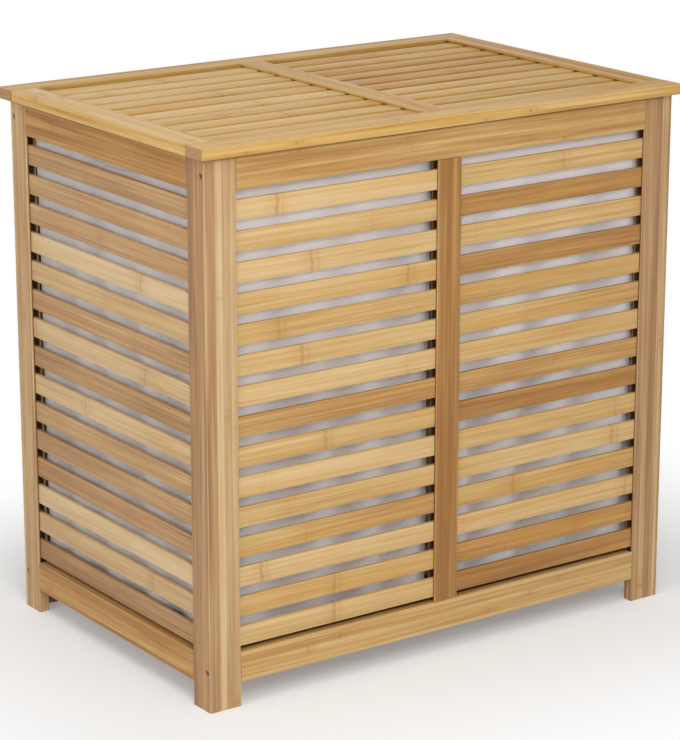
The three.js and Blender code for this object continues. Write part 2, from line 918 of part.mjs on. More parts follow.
// The base board, with a tongue for the groove of each bottom rail and clear of the stiles.
function baseBoard() {
  const halfX = innerHalfWidth - fit;
  const halfY = (innerBack - innerFront) / 2 - fit;
  const tongueX = innerHalfWidth + baseGrooveDepth - fit;
  const tongueY = (innerBack - innerFront) / 2 + baseGrooveDepth - fit;
  const spanX = frontRailHalf - fit;
  const spanY = sideRailHalf - fit;
  const outline = new THREE.Shape();
  outline.moveTo(spanX, halfY);
  outline.lineTo(spanX, tongueY);
  outline.lineTo(-spanX, tongueY);
  outline.lineTo(-spanX, halfY);
  outline.lineTo(-halfX, halfY);
  outline.lineTo(-halfX, spanY);
  outline.lineTo(-tongueX, spanY);
  outline.lineTo(-tongueX, -spanY);
  outline.lineTo(-halfX, -spanY);
  outline.lineTo(-halfX, -halfY);
  outline.lineTo(-spanX, -halfY);
  outline.lineTo(-spanX, -tongueY);
  outline.lineTo(spanX, -tongueY);
  outline.lineTo(spanX, -halfY);
  outline.lineTo(halfX, -halfY);
  outline.lineTo(halfX, -spanY);
  outline.lineTo(tongueX, -spanY);
  outline.lineTo(tongueX, spanY);
  outline.lineTo(halfX, spanY);
  outline.lineTo(halfX, halfY);
  return solid(
    new THREE.ExtrudeGeometry(outline, { depth: baseThickness, bevelEnabled: false }),
  );
}

const base = add(box, "base_board", baseBoard(), plywood);
base.position.set(0, outerMiddle, baseBottom);

export default hamper;
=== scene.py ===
# %% [markdown]
# # A bamboo laundry hamper with two bins
# The construction comes in as a finished frame: boards, hinges, rods and liners at their real
# size, in metres, with +Z up, +Y to the back and the floor at zero. This script gives it its
# looks. The camera comes first, then bamboo for the boards and slats, steel, and the cloth bags.
# The floor and the light come last.

# %% Load the frame
import math

import bmesh
import bpy
from mathutils import Matrix, Vector
from mathutils import noise as mathutils_noise


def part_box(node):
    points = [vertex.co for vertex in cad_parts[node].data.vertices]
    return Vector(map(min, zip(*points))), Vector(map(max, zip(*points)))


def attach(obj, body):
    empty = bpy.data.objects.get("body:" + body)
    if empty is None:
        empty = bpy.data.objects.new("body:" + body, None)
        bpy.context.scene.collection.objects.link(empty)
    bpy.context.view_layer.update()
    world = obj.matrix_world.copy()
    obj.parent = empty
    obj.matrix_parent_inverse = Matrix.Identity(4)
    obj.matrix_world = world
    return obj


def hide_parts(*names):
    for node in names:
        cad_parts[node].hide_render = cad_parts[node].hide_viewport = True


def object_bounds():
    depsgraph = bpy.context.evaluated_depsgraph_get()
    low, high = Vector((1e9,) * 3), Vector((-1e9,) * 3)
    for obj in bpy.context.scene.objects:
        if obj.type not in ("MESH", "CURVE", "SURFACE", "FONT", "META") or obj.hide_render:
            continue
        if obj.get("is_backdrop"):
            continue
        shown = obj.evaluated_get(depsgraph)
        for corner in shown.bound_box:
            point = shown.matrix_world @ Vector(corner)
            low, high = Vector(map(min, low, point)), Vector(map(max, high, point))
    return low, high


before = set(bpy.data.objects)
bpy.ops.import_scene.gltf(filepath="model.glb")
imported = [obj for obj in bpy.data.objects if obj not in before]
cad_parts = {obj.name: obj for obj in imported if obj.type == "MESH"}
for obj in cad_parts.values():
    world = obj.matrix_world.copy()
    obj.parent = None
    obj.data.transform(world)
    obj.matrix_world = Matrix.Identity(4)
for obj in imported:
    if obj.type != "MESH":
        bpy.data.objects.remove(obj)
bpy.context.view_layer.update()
scene = bpy.context.scene
MM = 0.001
X, Y, Z = 0, 1, 2
SIDES = ((-1, "left"), (1, "right"))

# %% [markdown]
# ## Camera
# The hamper is seen from its front left corner and from above, through a long lens, so that its
# upright edges stay almost parallel. The place and the two angles were worked out from the
# corners of the box, and the lens from how fast its edges run together.

# %% Camera
CAMERA_PLACE = (-1.7723, -2.5197, 1.1666)
CAMERA_YAW = math.radians(35.12)
CAMERA_PITCH = math.radians(16.15)
CAMERA_LENS = 138.2
SENSOR = 36.0
NEAREST = 0.1
FARTHEST = 50.0


def add_object(name, data):
    """Puts a mesh, a camera or a lamp into the scene."""
    made = bpy.data.objects.new(name, data)
    scene.collection.objects.link(made)
    return made


def stand(made, place, direction):
    """Stands a camera or a lamp at a place, and points it in a direction."""
    made.location = place
    made.rotation_euler = direction.to_track_quat("-Z", "Y").to_euler()


camera_data = bpy.data.cameras.new("camera")
camera_data.lens = CAMERA_LENS
camera_data.sensor_width = SENSOR
camera_data.clip_start = NEAREST
camera_data.clip_end = FARTHEST
camera = add_object("camera", camera_data)
looking = Vector((
    math.sin(CAMERA_YAW) * math.cos(CAMERA_PITCH),
    math.cos(CAMERA_YAW) * math.cos(CAMERA_PITCH),
    -math.sin(CAMERA_PITCH),
))
stand(camera, CAMERA_PLACE, looking)
scene.camera = camera
print("camera", round(camera.location.length, 2), "m from the middle of the floor")

# %% [markdown]
# ## Helpers for node trees
# A shader or geometry tree is a list of nodes and the links between them. Built by hand, each
# small sum takes four lines. Here a `Value` stands for what a node puts out, so that `a * b + 1`
# adds the two Math nodes by itself and links them, and the code reads like the sum it makes.

# %% Node helpers
class Value:
    """What a node puts out: a number, a vector or a colour. Each sum with it adds a Math node."""

    def __init__(self, socket):
        self.socket = socket
        self.tree = socket.id_data

    def __add__(self, other):
        return calc("ADD", self, other)

    def __sub__(self, other):
        return calc("SUBTRACT", self, other)

    def __rsub__(self, other):
        return calc("SUBTRACT", other, self)

    def __mul__(self, other):
        return calc("MULTIPLY", self, other)

    def __truediv__(self, other):
        return calc("DIVIDE", self, other)

    def __abs__(self):
        return calc("ABSOLUTE", self)

    __radd__ = __add__
    __rmul__ = __mul__


def feed(socket, value):
    """Gives an input a plain value, or links it to what another node puts out."""
    if isinstance(value, Value):
        value.tree.links.new(value.socket, socket)
    else:
        socket.default_value = value


def put(tree, kind, **given):
    """Adds a node. Small names are its settings, and names with a capital are its inputs."""
    node = tree.nodes.new(kind)
    for name, value in given.items():
        if name[0].islower():
            setattr(node, name, value)
    for name, value in given.items():
        if name[0].isupper():
            feed(node.inputs[name.replace("_", " ")], value)
    return node


def flow(tree, kind, **given):
    """Adds a node and returns its first output."""
    return Value(put(tree, kind, **given).outputs[0])


def flows(tree, kind, **given):
    """Adds a node and returns all its outputs by name."""
    return {socket.name: Value(socket) for socket in put(tree, kind, **given).outputs}


def calc(operation, *terms):
    """One sum, as a Math node. A term is a Value or a plain number."""
    tree = next(term.tree for term in terms if isinstance(term, Value))
    node = put(tree, "ShaderNodeMath", operation=operation)
    for socket, term in zip(node.inputs, terms):
        feed(socket, term)
    return Value(node.outputs[0])


def vector_calc(operation, first, second):
    """One sum of two vectors, as a Vector Math node."""
    node = put(first.tree, "ShaderNodeVectorMath", operation=operation)
    feed(node.inputs[0], first)
    feed(node.inputs[1], second)
    return Value(node.outputs["Value" if operation == "DOT_PRODUCT" else "Vector"])


def combine(tree, x=0.0, y=0.0, z=0.0):
    return flow(tree, "ShaderNodeCombineXYZ", X=x, Y=y, Z=z)


def fade(value, low, high, to_low=0.0, to_high=1.0):
    """A smooth step of a value, from to_low at low to to_high at high."""
    return flow(
        value.tree, "ShaderNodeMapRange", interpolation_type="SMOOTHSTEP",
        Value=value, From_Min=low, From_Max=high, To_Min=to_low, To_Max=to_high,
    )


def near(distance, full, none):
    """1 up to the first distance, fading to 0 at the second."""
    return fade(distance, full, none, 1.0, 0.0)


def blend(factor, first, second):
    """Mixes two colours by a factor."""
    node = put(factor.tree, "ShaderNodeMix", data_type="RGBA")
    for socket, value in ((node.inputs[0], factor), (node.inputs[6], first), (node.inputs[7], second)):
        feed(socket, value)
    return Value(node.outputs[2])


def noise(place, scales, detail, roughness=0.5):
    """Cloudy noise from 0 to 1. A smaller scale along one axis draws it out into lines."""
    scaled = vector_calc("MULTIPLY", place, scales)
    return flow(place.tree, "ShaderNodeTexNoise", Vector=scaled, Scale=1.0, Detail=detail,
                Roughness=roughness)


# %% [markdown]
# A pattern that more than one material needs is kept as a node group. Its inputs are named, and
# each has the value that it starts with, from which the kind of its socket follows.

# %% Group helpers
ORIGIN = (0.0, 0.0, 0.0)


def socket_kind(label, value):
    """The kind of a socket, from its name or from the value it starts with."""
    if label in ("Color", "Geometry", "Material"):
        return f"NodeSocket{label}"
    if isinstance(value, tuple):
        return "NodeSocketVector" if len(value) == 3 else "NodeSocketColor"
    return "NodeSocketInt" if isinstance(value, int) else "NodeSocketFloat"


def new_group(kind, name, inputs, outputs):
    """An empty node group with named sockets. Returns its tree and what comes in, by name."""
    tree = bpy.data.node_groups.new(name, kind)
    for label, value in inputs.items():
        socket = tree.interface.new_socket(label, in_out="INPUT", socket_type=socket_kind(label, value))
        if value is not None:
            socket.default_value = value
    for label in outputs:
        tree.interface.new_socket(label, in_out="OUTPUT", socket_type=socket_kind(label, 0.0))
    return tree, flows(tree, "NodeGroupInput")


def use_group(tree, group, **given):
    return flows(tree, "ShaderNodeGroup", node_tree=group, **given)


# %% [markdown]
# ## Bamboo
# A bamboo board isn't sawn from a trunk. It is glued up from strips a few millimetres to a few
# centimetres wide, each cut from the wall of a stem, so each has its own tone, fine fibres along
# its length and a dark double line wherever the stem had a joint. The group below works in the
# board's own space: along the grain, across the board and through its depth. A number for each
# strip, drawn from its place, picks its tone and slides its pattern, so no two are alike.

# %% Bamboo sizes
STRAW = (0.675, 0.46, 0.25, 1)
HONEY = (0.58, 0.358, 0.152, 1)
TAN = (0.445, 0.222, 0.085, 1)
BROWN = (0.31, 0.135, 0.048, 1)
JOINT_BROWN = (0.40, 0.18, 0.05, 1)
GLUE_BROWN = (0.24, 0.115, 0.045, 1)
AMBER = (0.60, 0.31, 0.09, 1)
TONE_STOPS = ((0.34, HONEY), (0.66, TAN))
HUE = 0.507

# Each pattern is how fine it is along the grain, across the board and through it, then the
# detail and the roughness of its noise.
FINE = (3.0, 0.6)
FIBRES = ((14, 900, 900), 3.0, 0.65)
STREAKS = ((5, 290, 290), *FINE)
DRIFT = ((5, 18, 18), 2.0)
WOBBLE = ((20, 160, 160), 2.0)
AMBER_PATCHES = ((2.2, 75, 75), *FINE)
AMBER_START = (0.48, 0.72)

# Lengths in metres. A joint is a line, a fainter line beside it and a wide, faint halo.
SLIDE = 9.0
JOINT_WOBBLE = 0.005
JOINT_LINE = (0.0008, 0.004)
SECOND_LINE = (0.0, 0.0036)
SECOND_LINE_GAP = 0.0075
HALO = (0.003, 0.022)
GLUE_LINE = (0.00005, 0.0004)
# Width of the rounded edge band: drier from sanding, paler from a painted highlight.
SANDED_AND_HIGHLIT_BAND = 0.0011

# How much each one shows, and how much of the joints' strength is left to luck.
JOINT_LUCK = (0.1, 0.8, 0.25, 1.0)
DRIFT_SHARE = 0.6
STREAK_SHARE = 1.15
FIBRE_SHARE = 0.35
SECOND_LINE_SHARE = 0.6
HALO_SHARE = 0.34
JOINT_SHARE = 0.55
GLUE_SHARE = 0.3
# How strongly the painted highlight lightens the rounded edges.
EDGE_HIGHLIGHT_SHARE = 0.3
LAYER_INSET = 0.998

# What the fibres, the sanding and the joints do to the roughness and to the height.
LACQUER_ROUGHNESS = 0.4
FIBRE_ROUGHNESS = 0.16
SANDED_ROUGHNESS = 0.1
FIBRE_HEIGHT = 0.35
JOINT_HEIGHT = 0.25

# %% Bamboo group
def make_bamboo_group():
    tree, given = new_group(
        "ShaderNodeTree", "bamboo",
        {
            "Board": ORIGIN, "Seed": 0.0, "Tone": 0.4, "Strip Width": 0.008, "Strip Offset": 0.5,
            "Layer Height": 0.004, "Joint Spacing": 0.3, "Contrast": 0.35, "Amber": 0.25,
            "Richness": 1.0, "Half Width": 0.013, "Half Depth": 0.006,
        },
        ("Color", "Roughness", "Height"),
    )
    along, across, depth = flows(tree, "ShaderNodeSeparateXYZ", Vector=given["Board"]).values()

    # The strip that a point lies in, and the random numbers that belong to it.
    strip_place = across / given["Strip Width"] + given["Strip Offset"]
    strip = calc("FLOOR", strip_place)
    layer = calc("FLOOR", depth / given["Layer Height"] * LAYER_INSET + 0.5)
    key = combine(tree, strip, layer, given["Seed"])
    dice = flows(tree, "ShaderNodeTexWhiteNoise", noise_dimensions="3D", Vector=key)
    drawn = flows(tree, "ShaderNodeSeparateColor", Color=dice["Color"])
    tone_dice, slide_dice, joint_dice = drawn.values()

    # The board's space, slid along the grain by a different length in each strip.
    slid_along = along + slide_dice * SLIDE
    place = combine(tree, slid_along, across + slide_dice, depth)
    fibre = noise(place, *FIBRES)
    streak = noise(place, *STREAKS)
    drift = noise(place, *DRIFT)

    # Stem joints, at even steps along each strip. Some are strong and some hardly show.
    steps = slid_along / given["Joint Spacing"] + joint_dice
    wobble = (noise(place, *WOBBLE) - 0.5) * JOINT_WOBBLE
    offset = (calc("FRACT", steps) - 0.5) * given["Joint Spacing"] + wobble
    line = near(abs(offset), *JOINT_LINE)
    second = near(abs(offset - SECOND_LINE_GAP), *SECOND_LINE) * SECOND_LINE_SHARE
    halo = near(abs(offset), *HALO) * HALO_SHARE
    luck_key = combine(tree, calc("FLOOR", steps), joint_dice, given["Seed"])
    luck = flow(tree, "ShaderNodeTexWhiteNoise", noise_dimensions="3D", Vector=luck_key)
    strength = fade(luck, *JOINT_LUCK)
    joint = calc("MAXIMUM", calc("MAXIMUM", line, second), halo) * strength

    # Tone: the board's own, each strip's, and what drift, streaks and fibres add.
    tone = given["Tone"] + (tone_dice - 0.5) * given["Contrast"]
    for pattern, share in ((drift, DRIFT_SHARE), (streak, STREAK_SHARE), (fibre, FIBRE_SHARE)):
        tone = tone + (pattern - 0.5) * share
    ramp = put(tree, "ShaderNodeValToRGB", Fac=tone)
    stops = ramp.color_ramp.elements
    stops[0].position, stops[0].color = 0.0, STRAW
    stops[1].position, stops[1].color = 1.0, BROWN
    for position, colour in TONE_STOPS:
        stops.new(position).color = colour
    amber = fade(noise(place, *AMBER_PATCHES), *AMBER_START) * given["Amber"]
    colour = blend(amber, Value(ramp.outputs[0]), AMBER)
    colour = blend(joint * JOINT_SHARE, colour, JOINT_BROWN)

    # Glue lines where two strips meet.
    within = strip_place - strip
    to_line = calc("MINIMUM", within, 1.0 - within) * given["Strip Width"]
    glue = near(to_line, *GLUE_LINE) * GLUE_SHARE
    colour = blend(glue, colour, GLUE_BROWN)

    # Edges are rounded by sanding and drier there; their paler colour is a painted highlight of the rounded
    # edge.
    near_side = fade(abs(across) - (given["Half Width"] - SANDED_AND_HIGHLIT_BAND), 0.0, SANDED_AND_HIGHLIT_BAND)
    near_face = fade(abs(depth) - (given["Half Depth"] - SANDED_AND_HIGHLIT_BAND), 0.0, SANDED_AND_HIGHLIT_BAND)
    sanded_and_highlit = near_side * near_face
    colour = blend(sanded_and_highlit * EDGE_HIGHLIGHT_SHARE, colour, STRAW)
    colour = flow(tree, "ShaderNodeHueSaturation", Hue=HUE, Saturation=given["Richness"], Color=colour)

    roughness = LACQUER_ROUGHNESS + fibre * FIBRE_ROUGHNESS + sanded_and_highlit * SANDED_ROUGHNESS
    height = fibre * FIBRE_HEIGHT - joint * JOINT_HEIGHT - glue
    put(tree, "NodeGroupOutput", Color=colour, Roughness=roughness, Height=height)
    return tree


bamboo_group = make_bamboo_group()
print("bamboo group with", len(bamboo_group.nodes), "nodes")

# %% [markdown]
# Where a board is cut across, the ends of the fibres show as small dark dots in a dull, brown
# ground. Which faces are ends is read from the normal in the object's own space: it is an end
# where the normal runs with the grain. That holds when the lid turns, because the space turns too.

# %% End grain group
END_GROUND = (0.50, 0.30, 0.155, 1)
END_DOT = (0.26, 0.135, 0.065, 1)
DOTS_PER_METRE = 1300.0
DOT_SIZE = (0.15, 0.45)
END_CLOUDS = ((0, 160, 300), 2.0)
CLOUD_SHARE = 0.6
DOT_SHARE = 0.5
ACROSS_ONLY = (0, 1, 1)
END_ANGLE = (0.75, 0.9)


def make_end_group():
    tree, given = new_group(
        "ShaderNodeTree", "end_grain",
        {"Board": ORIGIN, "Side Color": HONEY, "Normal": (0.0, 0.0, 1.0), "Grain": (1.0, 0.0, 0.0)},
        ("Color", "End"),
    )
    flat = vector_calc("MULTIPLY", given["Board"], ACROSS_ONLY)
    dot = near(flow(tree, "ShaderNodeTexVoronoi", Vector=flat, Scale=DOTS_PER_METRE), *DOT_SIZE)
    clouds = noise(given["Board"], *END_CLOUDS)
    ground = blend(clouds * CLOUD_SHARE, END_GROUND, END_DOT)
    cut_face = blend(dot * DOT_SHARE, ground, END_DOT)
    facing = vector_calc("DOT_PRODUCT", given["Normal"], given["Grain"])
    end = fade(abs(facing), *END_ANGLE)
    put(tree, "NodeGroupOutput", Color=blend(end, given["Side Color"], cut_face), End=end)
    return tree


end_group = make_end_group()
print("end grain group with", len(end_group.nodes), "nodes")

# %% [markdown]
# ## Sizes of the slatted panels
# Each wall and the lid is a frame with grooves along the inner edges of its upright boards.
# The ends of the slats sit in these grooves. These sizes are the construction's own, in
# millimetres, so that the modelled boards and slats land exactly where the solids are.

# %% Panel sizes
FRONT, BACK, SIDE, LID = -195.0, 185.0, 300.0, 594.0  # the middle of each panel's boards
HALF_BOARD = 6.0
EASING = 0.7
SLAT_THICKNESS = 6.0
GROOVE_DEPTH = 6.0
GROOVE_WIDTH = 6.4
WALL_GROOVE = (32.7, 582.0)
LID_GROOVE = (-183.0, 183.0)
STILE_TOP = 587.7
STILE_INNER, STILE_OUTER = 267.7, 293.7
CENTRE_STILE_EDGE = 15.3
SIDE_STILE_FRONT, SIDE_STILE_BACK = -201.0, -169.0
REAR_STILE_FRONT = 159.0
LID_STILE_INNER, LID_STILE_OUTER = 278.0, 312.0
LID_STILE_HALF_LENGTH = 176.7
LID_CENTRE_EDGE = 15.0


def mirrored(low, high, side):
    """A box given for the right half, put on the left (-1) or right (1) half."""
    xs = sorted((low[X] * side, high[X] * side))
    return (xs[0], *low[1:]), (xs[1], *high[1:])


def groove_width(middle):
    """From one wall of a groove to the other, about the middle of its board."""
    return middle - GROOVE_WIDTH / 2, middle + GROOVE_WIDTH / 2


def groove_box(kind, side, past=0.0):
    """The space of one groove, for the right half (1) or its mirror image (-1). A cutter for it
    reaches past the board's edge."""
    centre = (CENTRE_STILE_EDGE - GROOVE_DEPTH, CENTRE_STILE_EDGE)
    end = (STILE_INNER - past, STILE_INNER + GROOVE_DEPTH)
    side_front = (SIDE_STILE_BACK - GROOVE_DEPTH, SIDE_STILE_BACK + past)
    side_back = (REAR_STILE_FRONT, REAR_STILE_FRONT + GROOVE_DEPTH)
    lid_middle = (LID_CENTRE_EDGE - GROOVE_DEPTH, LID_CENTRE_EDGE)
    lid_end = (LID_STILE_INNER - past, LID_STILE_INNER + GROOVE_DEPTH)
    spans = {
        "front_centre": (centre, groove_width(FRONT), WALL_GROOVE),
        "back_centre": (centre, groove_width(BACK), WALL_GROOVE),
        "front_end": (end, groove_width(FRONT), WALL_GROOVE),
        "back_end": (end, groove_width(BACK), WALL_GROOVE),
        "side_front": (groove_width(SIDE), side_front, WALL_GROOVE),
        "side_back": (groove_width(SIDE), side_back, WALL_GROOVE),
        "lid_middle": (lid_middle, LID_GROOVE, groove_width(LID)),
        "lid_end": (lid_end, LID_GROOVE, groove_width(LID)),
    }[kind]
    low, high = zip(*spans)
    return mirrored(low, high, side)


print("groove of the front right stile", groove_box("front_end", 1))

# %% [markdown]
# ## Bamboo as a surface
# The pattern alone isn't a board yet. Its cut ends are laid over it, then painted shade, each
# patch in a box of space that fades out at its edge. Such boards are lacquered thinly, with a
# satin shine, so the gloss is weak, and a very low bump lets the fibres catch the light.

# %% Bamboo surface
BAMBOO_BUMP = (0.5, 0.00025)
LACQUER = {"Specular_IOR_Level": 0.08, "Coat_Weight": 0.015, "Coat_Roughness": 0.3}
# Painted shade: the dark brown that the grooves and the line under the lid are painted with.
PAINTED_SHADE_BROWN = (0.03, 0.014, 0.006, 1)
END_ROUGHNESS = 0.2
# Where a patch of painted shade begins to fade, in millimetres beyond its box.
SHADE_FADE_START = 0.1


def new_material(name):
    """An empty material. Returns it and its node tree."""
    material = bpy.data.materials.new(name)
    material.use_nodes = True
    material.node_tree.nodes.clear()
    return material, material.node_tree


def surface(tree, height, strength, depth, **looks):
    """The last nodes of a material: a bump, the surface that it shapes, and the output."""
    bump = flow(tree, "ShaderNodeBump", Strength=strength, Distance=depth, Height=height)
    skin = flow(tree, "ShaderNodeBsdfPrincipled", Normal=bump, **looks)
    put(tree, "ShaderNodeOutputMaterial", Surface=skin)


def in_box(place, low, high, reach):
    """1 in the box between two corners, fading to 0 over a reach round it."""
    parts = flows(place.tree, "ShaderNodeSeparateXYZ", Vector=place).values()
    farthest = -1.0
    for part, start, end in zip(parts, low, high):
        outside = abs(part - (start + end) / 2 * MM) - (end - start) / 2 * MM
        farthest = calc("MAXIMUM", farthest, outside)
    return near(farthest, SHADE_FADE_START * MM, reach * MM)


def bamboo_shader(tree, board, seed, tone, end=None, place=None, painted_shade=(), **sizes):
    """The nodes behind every bamboo material: pattern, cut ends, painted shade and surface."""
    look = use_group(tree, bamboo_group, Board=board, Seed=seed, Tone=tone, **sizes)
    colour, roughness = look["Color"], look["Roughness"]
    if end:
        cut = use_group(tree, end_group, Board=board, Side_Color=colour, **end)
        colour = cut["Color"]
        roughness = roughness + cut["End"] * END_ROUGHNESS
    # Painted shade: each box darkens the colour towards a dark brown, fading out round the box.
    for low, high, reach, strength in painted_shade:
        colour = blend(in_box(place, low, high, reach) * strength, colour, PAINTED_SHADE_BROWN)
    surface(tree, look["Height"], *BAMBOO_BUMP, Base_Color=colour, Roughness=roughness, **LACQUER)


# %% [markdown]
# ## One material for each board
# Every board has its own piece of bamboo, so every board gets its own material, made by one
# function. It moves the object's coordinates to the middle of the board and puts them in the
# order along, across, depth. Inside its grooves a board gets painted shade, and a thin painted
# shadow of the lid runs just under it, along the outer edges of the walls.

# %% Board materials
FRAME_STRIP = 8 * MM
CONTRAST = 0.35
EVEN_CONTRAST = 0.1
LID_RICHNESS = 1.1
SIDE_RICHNESS = 0.88
STILE_RICHNESS = 0.87

# Each patch of painted shade is how far it reaches, in millimetres, and how strong it is.
# Painted shade inside the grooves of the walls and of the lid, where the slat ends sit in shadow.
PAINTED_WALL_GROOVE_SHADE = (1.7, 0.9)
PAINTED_LID_GROOVE_SHADE = (0.4, 0.9)
# Painted shadow of the lid's overhang: a thin dark line along the outer faces of the walls, just under the
# lid, and the boxes it lies in.
PAINTED_LID_SHADOW = (1.6, 0.55)
LID_SHADOW_LINES = {
    "front": ((-320, -201.4, 586.3), (320, -200.6, 588)),
    "back": ((-320, 190.6, 586.3), (320, 191.4, 588)),
    "left": ((-306.4, -202, 586.3), (-305.6, 192, 588)),
    "right": ((305.6, -202, 586.3), (306.4, 192, 588)),
}


def shade_painted_places(name, groove=None, sides=()):
    """The painted shade in a board's grooves, and the painted shadow of the lid where the board reaches up to
    it.
    """
    groove_shade = PAINTED_LID_GROOVE_SHADE if name.startswith("lid") else PAINTED_WALL_GROOVE_SHADE
    shaded_grooves = [(*groove_box(groove, side), *groove_shade) for side in sides]
    faces = [face for face in LID_SHADOW_LINES if name.startswith(face) and "bottom" not in name]
    return shaded_grooves + [(*LID_SHADOW_LINES[face], *PAINTED_LID_SHADOW) for face in faces]


def richness_of(name):
    """How full a board's colour is: the lid's is the fullest and the end stiles' the palest."""
    if name.startswith("lid"):
        return LID_RICHNESS
    return STILE_RICHNESS if name.endswith("stile") and "centre" not in name else 1.0


def board_material(name, low, high, grain, seed, tone, strip=FRAME_STRIP, contrast=CONTRAST, painted_shade=()):
    """Bamboo for one board that fills the box from low to high, with its grain along one axis."""
    size = high - low
    across, depth = sorted({X, Y, Z} - {grain}, key=lambda axis: -size[axis])
    material, tree = new_material(name)
    coords = flows(tree, "ShaderNodeTexCoord")
    centred = vector_calc("SUBTRACT", coords["Object"], (low + high) / 2)
    parts = list(flows(tree, "ShaderNodeSeparateXYZ", Vector=centred).values())
    direction = [float(axis == grain) for axis in (X, Y, Z)]
    bamboo_shader(
        tree, combine(tree, parts[grain], parts[across], parts[depth]), seed, tone,
        end={"Normal": coords["Normal"], "Grain": direction}, place=coords["Object"], painted_shade=painted_shade,
        Strip_Width=strip, Contrast=contrast, Richness=richness_of(name),
        Half_Width=size[across] / 2, Half_Depth=size[depth] / 2,
    )
    return material


def dress(node, material):
    """Puts a material on every slot of a construction node."""
    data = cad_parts[node].data
    data.materials.clear()
    data.materials.append(material)


# %% [markdown]
# These boards are dressed as they are. Tone 0 is pale straw and 1 is brown, and the grain of a
# board runs along its longest side. Four of them are glued up from strips that match well, so
# their contrast is low.

# %% Plain boards
BOARDS = {
    "front_top_rail": 0.5, "front_bottom_rail": 0.4, "front_centre_stile": 0.88,
    "back_top_rail": 0.4, "back_bottom_rail": 0.45, "back_centre_stile": 0.5,
    "left_back_stile": 0.5, "left_top_rail": 0.72, "left_bottom_rail": 0.7,
    "right_back_stile": 0.4, "right_top_rail": 0.45, "right_bottom_rail": 0.5,
    "lid_front_rail": 0.32, "lid_back_rail": 0.45, "lid_middle_stile": 0.45,
    "left_hanger_rail": 0.4, "right_hanger_rail": 0.5, "centre_bar": 0.45,
}
EVEN_BOARDS = ("front_top_rail", "front_centre_stile", "left_top_rail", "lid_front_rail")
GROOVED = {
    "front_centre_stile": ("front_centre", (-1, 1)), "back_centre_stile": ("back_centre", (-1, 1)),
    "lid_middle_stile": ("lid_middle", (-1, 1)),
    "left_back_stile": ("side_back", (-1,)), "right_back_stile": ("side_back", (1,)),
}
FIRST_BOARD_SEED = 1.0

for seed, (node, tone) in enumerate(BOARDS.items()):
    low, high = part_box(node)
    size = high - low
    grain = max((X, Y, Z), key=lambda axis: size[axis])
    dress(node, board_material(
        node, low, high, grain, seed + FIRST_BOARD_SEED, tone,
        contrast=EVEN_CONTRAST if node in EVEN_BOARDS else CONTRAST,
        # painted shade in the grooves and the painted shadow under the lid
        painted_shade=shade_painted_places(node, *GROOVED.get(node, ())),
    ))
print("bamboo on", len(BOARDS), "boards")

# %% [markdown]
# ## Boards with grooves and bores
# A stile is a planed board: its edges are eased with sandpaper, a groove is run along one edge
# on a router table, and holes are bored for the corner screws, wider at the face so that the
# heads sink in. The mesh is made the same way: a block with rounded edges, then the cuts.

# %% Board builder
ROUND_STEPS = 3
BORE_SIDES = 40


def as_plain_mesh(made):
    """Turns what the modifiers show into the object's own mesh, and removes the modifiers."""
    seen = made.evaluated_get(bpy.context.evaluated_depsgraph_get())
    mesh = bpy.data.meshes.new_from_object(seen)
    made.modifiers.clear()
    old = made.data
    made.data = mesh
    mesh.name = made.name
    bpy.data.meshes.remove(old)
    return made


def object_from(name, shape):
    """Makes an object from a bmesh."""
    mesh = bpy.data.meshes.new(name)
    shape.to_mesh(mesh)
    shape.free()
    return add_object(name, mesh)


def block(name, low, high, easing=0.0):
    """A block between two corners in millimetres, with all its edges rounded by the easing."""
    shape = bmesh.new()
    bmesh.ops.create_cube(shape, size=1.0)
    for vertex in shape.verts:
        vertex.co = Vector((a + b) / 2 + (b - a) * c for a, b, c in zip(low, high, vertex.co)) * MM
    if easing:
        bmesh.ops.bevel(shape, geom=shape.edges[:], offset=easing * MM, segments=ROUND_STEPS,
                        profile=0.5, affect="EDGES")
    return object_from(name, shape)


def drill(name, start, end, radius):
    """A round cutter along X between two points in millimetres."""
    shape = bmesh.new()
    bmesh.ops.create_cone(shape, cap_ends=True, segments=BORE_SIDES, radius1=radius * MM,
                          radius2=radius * MM, depth=abs(end[X] - start[X]) * MM)
    bmesh.ops.rotate(shape, verts=shape.verts, matrix=Matrix.Rotation(math.pi / 2, 3, "Y"))
    bmesh.ops.translate(shape, verts=shape.verts, vec=(Vector(start) + Vector(end)) / 2 * MM)
    return object_from(name, shape)


def carve(blank, cutters, operation="DIFFERENCE"):
    """Cuts or joins solids on a blank, then throws the cutters away."""
    for cutter in cutters:
        modifier = blank.modifiers.new(cutter.name, "BOOLEAN")
        modifier.operation = operation
        modifier.solver = "EXACT"
        modifier.object = cutter
    as_plain_mesh(blank)
    for cutter in cutters:
        bpy.data.meshes.remove(cutter.data)
    return blank


# %% [markdown]
# The eight stiles that carry slats. The four at the front and back stand inside the side
# panels, so their bores come in at the outer edge. The two on the sides have the visible
# recesses, and the two of the lid have a stub tenon at each end.

# %% Stiles
PAST = 1.0
CORNER_SCREW_HEIGHTS = (43.5, 570.2)
HEAD_BORE = 3.5
HEAD_BORE_END = 300.7
SHANK_BORE = 2.3
SHANK_BORE_END = 276.7
LID_TENONS = (((284, 170, 591), (306, 182.7, 597)), ((284, -182.7, 591), (306, -170, 597)))


def make_stile(name, side, groove, low, high, bores=(), tenons=()):
    stile = block(name, *mirrored(low, high, side), EASING)
    if tenons:
        carve(stile, [block(f"{name}_tenon", *mirrored(a, b, side)) for a, b in tenons], "UNION")
    cutters = [block(f"{name}_groove", *groove_box(groove, side, PAST))]
    for (start_x, y, z), end_x, radius in bores:
        cutters.append(drill(f"{name}_bore", (start_x * side, y, z), (end_x * side, y, z), radius))
    return carve(stile, cutters)


